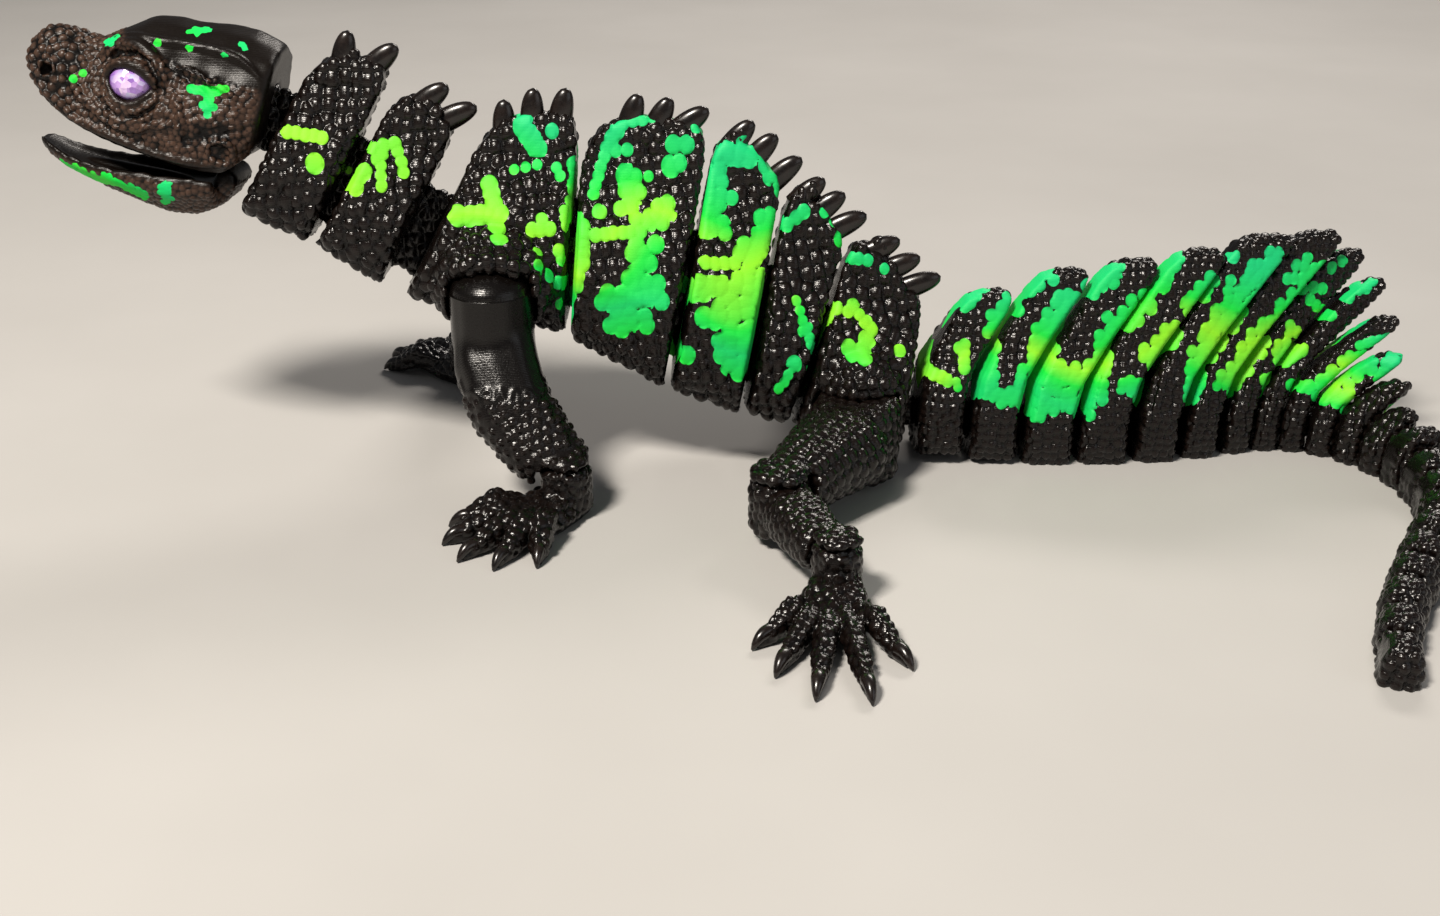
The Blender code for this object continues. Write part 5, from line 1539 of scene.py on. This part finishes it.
def printed_plastic(name, roughest, shine, top=BLACK_TOP_PAINTED_LIGHT, even=BLACK_SMOOTH):
    """Satin black print with green blotches, a faint grain and the fine lines of its layers, with painted
    shade in the grooves between its scales and painted light on their tops.
    """
    graph = Graph(name)
    shader = graph.shader
    edge = graph.scaled(graph.reading("green"), -BLOTCH_EDGE, BLOTCH_EDGE)
    hue = graph.ramp(graph.reading("hue"), ((0.0, GREEN_LIME), (MIDDLE_HUE, GREEN_MID), (1.0, GREEN_MINT)))
    # The grooves between scales take painted shade and their tops painted light, by how high each point rises
    high = graph.scaled(graph.reading("rise"), *PAINTED_SHADE_TO_LIGHT)
    scales_painted_shade_and_light = graph.mixed(high, BLACK_GROOVE_PAINTED_SHADE, top)
    cloud = graph.scaled(graph.noise(260.0), 0.3, 0.7, 0.0, 0.5)
    black = graph.mixed(graph.reading("smooth"), scales_painted_shade_and_light, even)
    black = graph.mixed(cloud, black, even)
    graph.join(graph.mixed(edge, black, hue), shader.inputs["Base Color"])
    grain = graph.noise(2600.0, 3.0)
    rough_black = graph.scaled(grain, 0.3, 0.7, roughest - ROUGH_SPAN, roughest)
    rough = graph.add("ShaderNodeMix", data_type="FLOAT")
    graph.join(edge, rough.inputs["Factor"])
    graph.join(rough_black, rough.inputs[2])
    rough.inputs[3].default_value = GREEN_ROUGHNESS
    graph.join(rough.outputs[0], shader.inputs["Roughness"])
    shader.inputs["Specular IOR Level"].default_value = shine
    layers = graph.texture("ShaderNodeTexWave", LAYER_LINES, wave_type="BANDS", bands_direction="Z")
    height = graph.add("ShaderNodeMath", operation="MULTIPLY_ADD")
    graph.join(layers.outputs["Fac"], height.inputs[0])
    height.inputs[1].default_value = LINES_SHARE
    graph.join(grain, height.inputs[2])
    graph.bump(height.outputs[0], *PRINT_BUMP)
    return graph.material


def glossy_black():
    """The smooth, brighter brown-black of the spines and claws."""
    graph = Graph("glossy_black")
    shader = graph.shader
    streak = graph.scaled(graph.noise(420.0, 3.0), 0.3, 0.7)
    graph.join(graph.mixed(streak, GLOSS_DARK, GLOSS_BROWN), shader.inputs["Base Color"])
    graph.join(graph.scaled(graph.noise(1500.0), 0.3, 0.7, 0.20, 0.30), shader.inputs["Roughness"])
    shader.inputs["Specular IOR Level"].default_value = 0.55
    return graph.material


def gem():
    """A gem of white and lilac sparks, violet towards its rim."""
    graph = Graph("gem")
    shader = graph.shader
    cells = graph.texture("ShaderNodeTexVoronoi", {"Scale": GEM_CELLS})
    value = graph.add("ShaderNodeSeparateColor")
    graph.join(cells.outputs["Color"], value.inputs["Color"])
    spark = graph.ramp(value.outputs["Red"], GEM_SPARKS)
    rim = graph.scaled(graph.reading("rim"), 0.45, 0.95)
    graph.join(graph.mixed(rim, spark, GEM_RIM), shader.inputs["Base Color"])
    shader.inputs["Roughness"].default_value = 0.16
    shader.inputs["Coat Weight"].default_value = 0.7
    shader.inputs["Coat Roughness"].default_value = 0.05
    graph.bump(cells.outputs["Distance"], *GEM_BUMP)
    return graph.material


def floor_paper():
    graph = Graph("floor_paper")
    shader = graph.shader
    cloud = graph.scaled(graph.noise(6.0), 0.3, 0.7)
    graph.join(graph.mixed(cloud, *FLOOR_COLOURS), shader.inputs["Base Color"])
    shader.inputs["Roughness"].default_value = 0.85
    return graph.material


# Stage

def make_floor():
    shape = bmesh.new()
    bmesh.ops.create_grid(shape, x_segments=4, y_segments=4, size=FLOOR_HALF)
    floor = new_item("floor", shape)
    floor.data.materials.append(floor_paper())


def make_lights():
    for name, (place, size, power, colour) in LAMPS.items():
        lamp = bpy.data.lights.new(name, "AREA")
        lamp.energy = power
        lamp.color = colour
        lamp.shape = "RECTANGLE"
        lamp.size, lamp.size_y = size
        item = bpy.data.objects.new(name, lamp)
        item.location = place
        item.rotation_euler = (LAMP_TARGET - Vector(place)).to_track_quat("-Z", "Y").to_euler()
        bpy.context.scene.collection.objects.link(item)
    world = bpy.data.worlds.new("studio")
    world.use_nodes = True
    background = world.node_tree.nodes["Background"]
    background.inputs["Color"].default_value = SKY_COLOUR
    background.inputs["Strength"].default_value = SKY_STRENGTH
    bpy.context.scene.world = world
    bpy.context.scene.view_settings.view_transform = "Standard"


def make_camera():
    place, ahead, _ = camera_frame()
    lens = bpy.data.cameras.new("camera")
    lens.sensor_fit = "HORIZONTAL"
    lens.angle = 2.0 * math.atan(IMAGE_WIDTH / 2.0 / FOCAL_PIXELS)
    lens.clip_start = 0.01
    camera = bpy.data.objects.new("camera", lens)
    camera.location = (place + TOY_SHIFT) * MM
    camera.rotation_euler = ahead.to_track_quat("-Z", "Y").to_euler()
    bpy.context.scene.collection.objects.link(camera)
    bpy.context.scene.camera = camera


def main():
    make_camera()
    make_lights()
    make_floor()
    plastic = printed_plastic("printed_plastic", *PLAIN_GLOSS)
    polished = printed_plastic("polished_plastic", *POLISHED_GLOSS)
    # The head's scale tops carry a brown painted highlight, its grooves painted shade
    leathery = printed_plastic("leathery_plastic", *LEATHERY_GLOSS, HEAD_TOP_PAINTED_HIGHLIGHT, HEAD_SMOOTH)
    gloss = glossy_black()
    tail = sorted(name for name in frame["nodes"] if name.startswith("tail"))
    for node in list(LINKS) + tail:
        make_link(node, plastic)
    for node in LINKS:
        make_spines(node, gloss)
    for side, label in ((LEFT, "left"), (RIGHT, "right")):
        make_limb(f"arm_{label}", plastic, ARM_SCALE)
        make_limb(f"thigh_{label}", polished, THIGH_SCALE)
        make_limb(f"shank_{label}", polished, SHANK_SCALE)
        for kind in ("hand", "foot"):
            make_paw(f"{kind}_{label}", polished)
            make_claws(kind, side, f"{kind}_{label}", gloss)
    make_head(leathery)
    make_jaw(leathery)
    make_eyes(gem())


main()
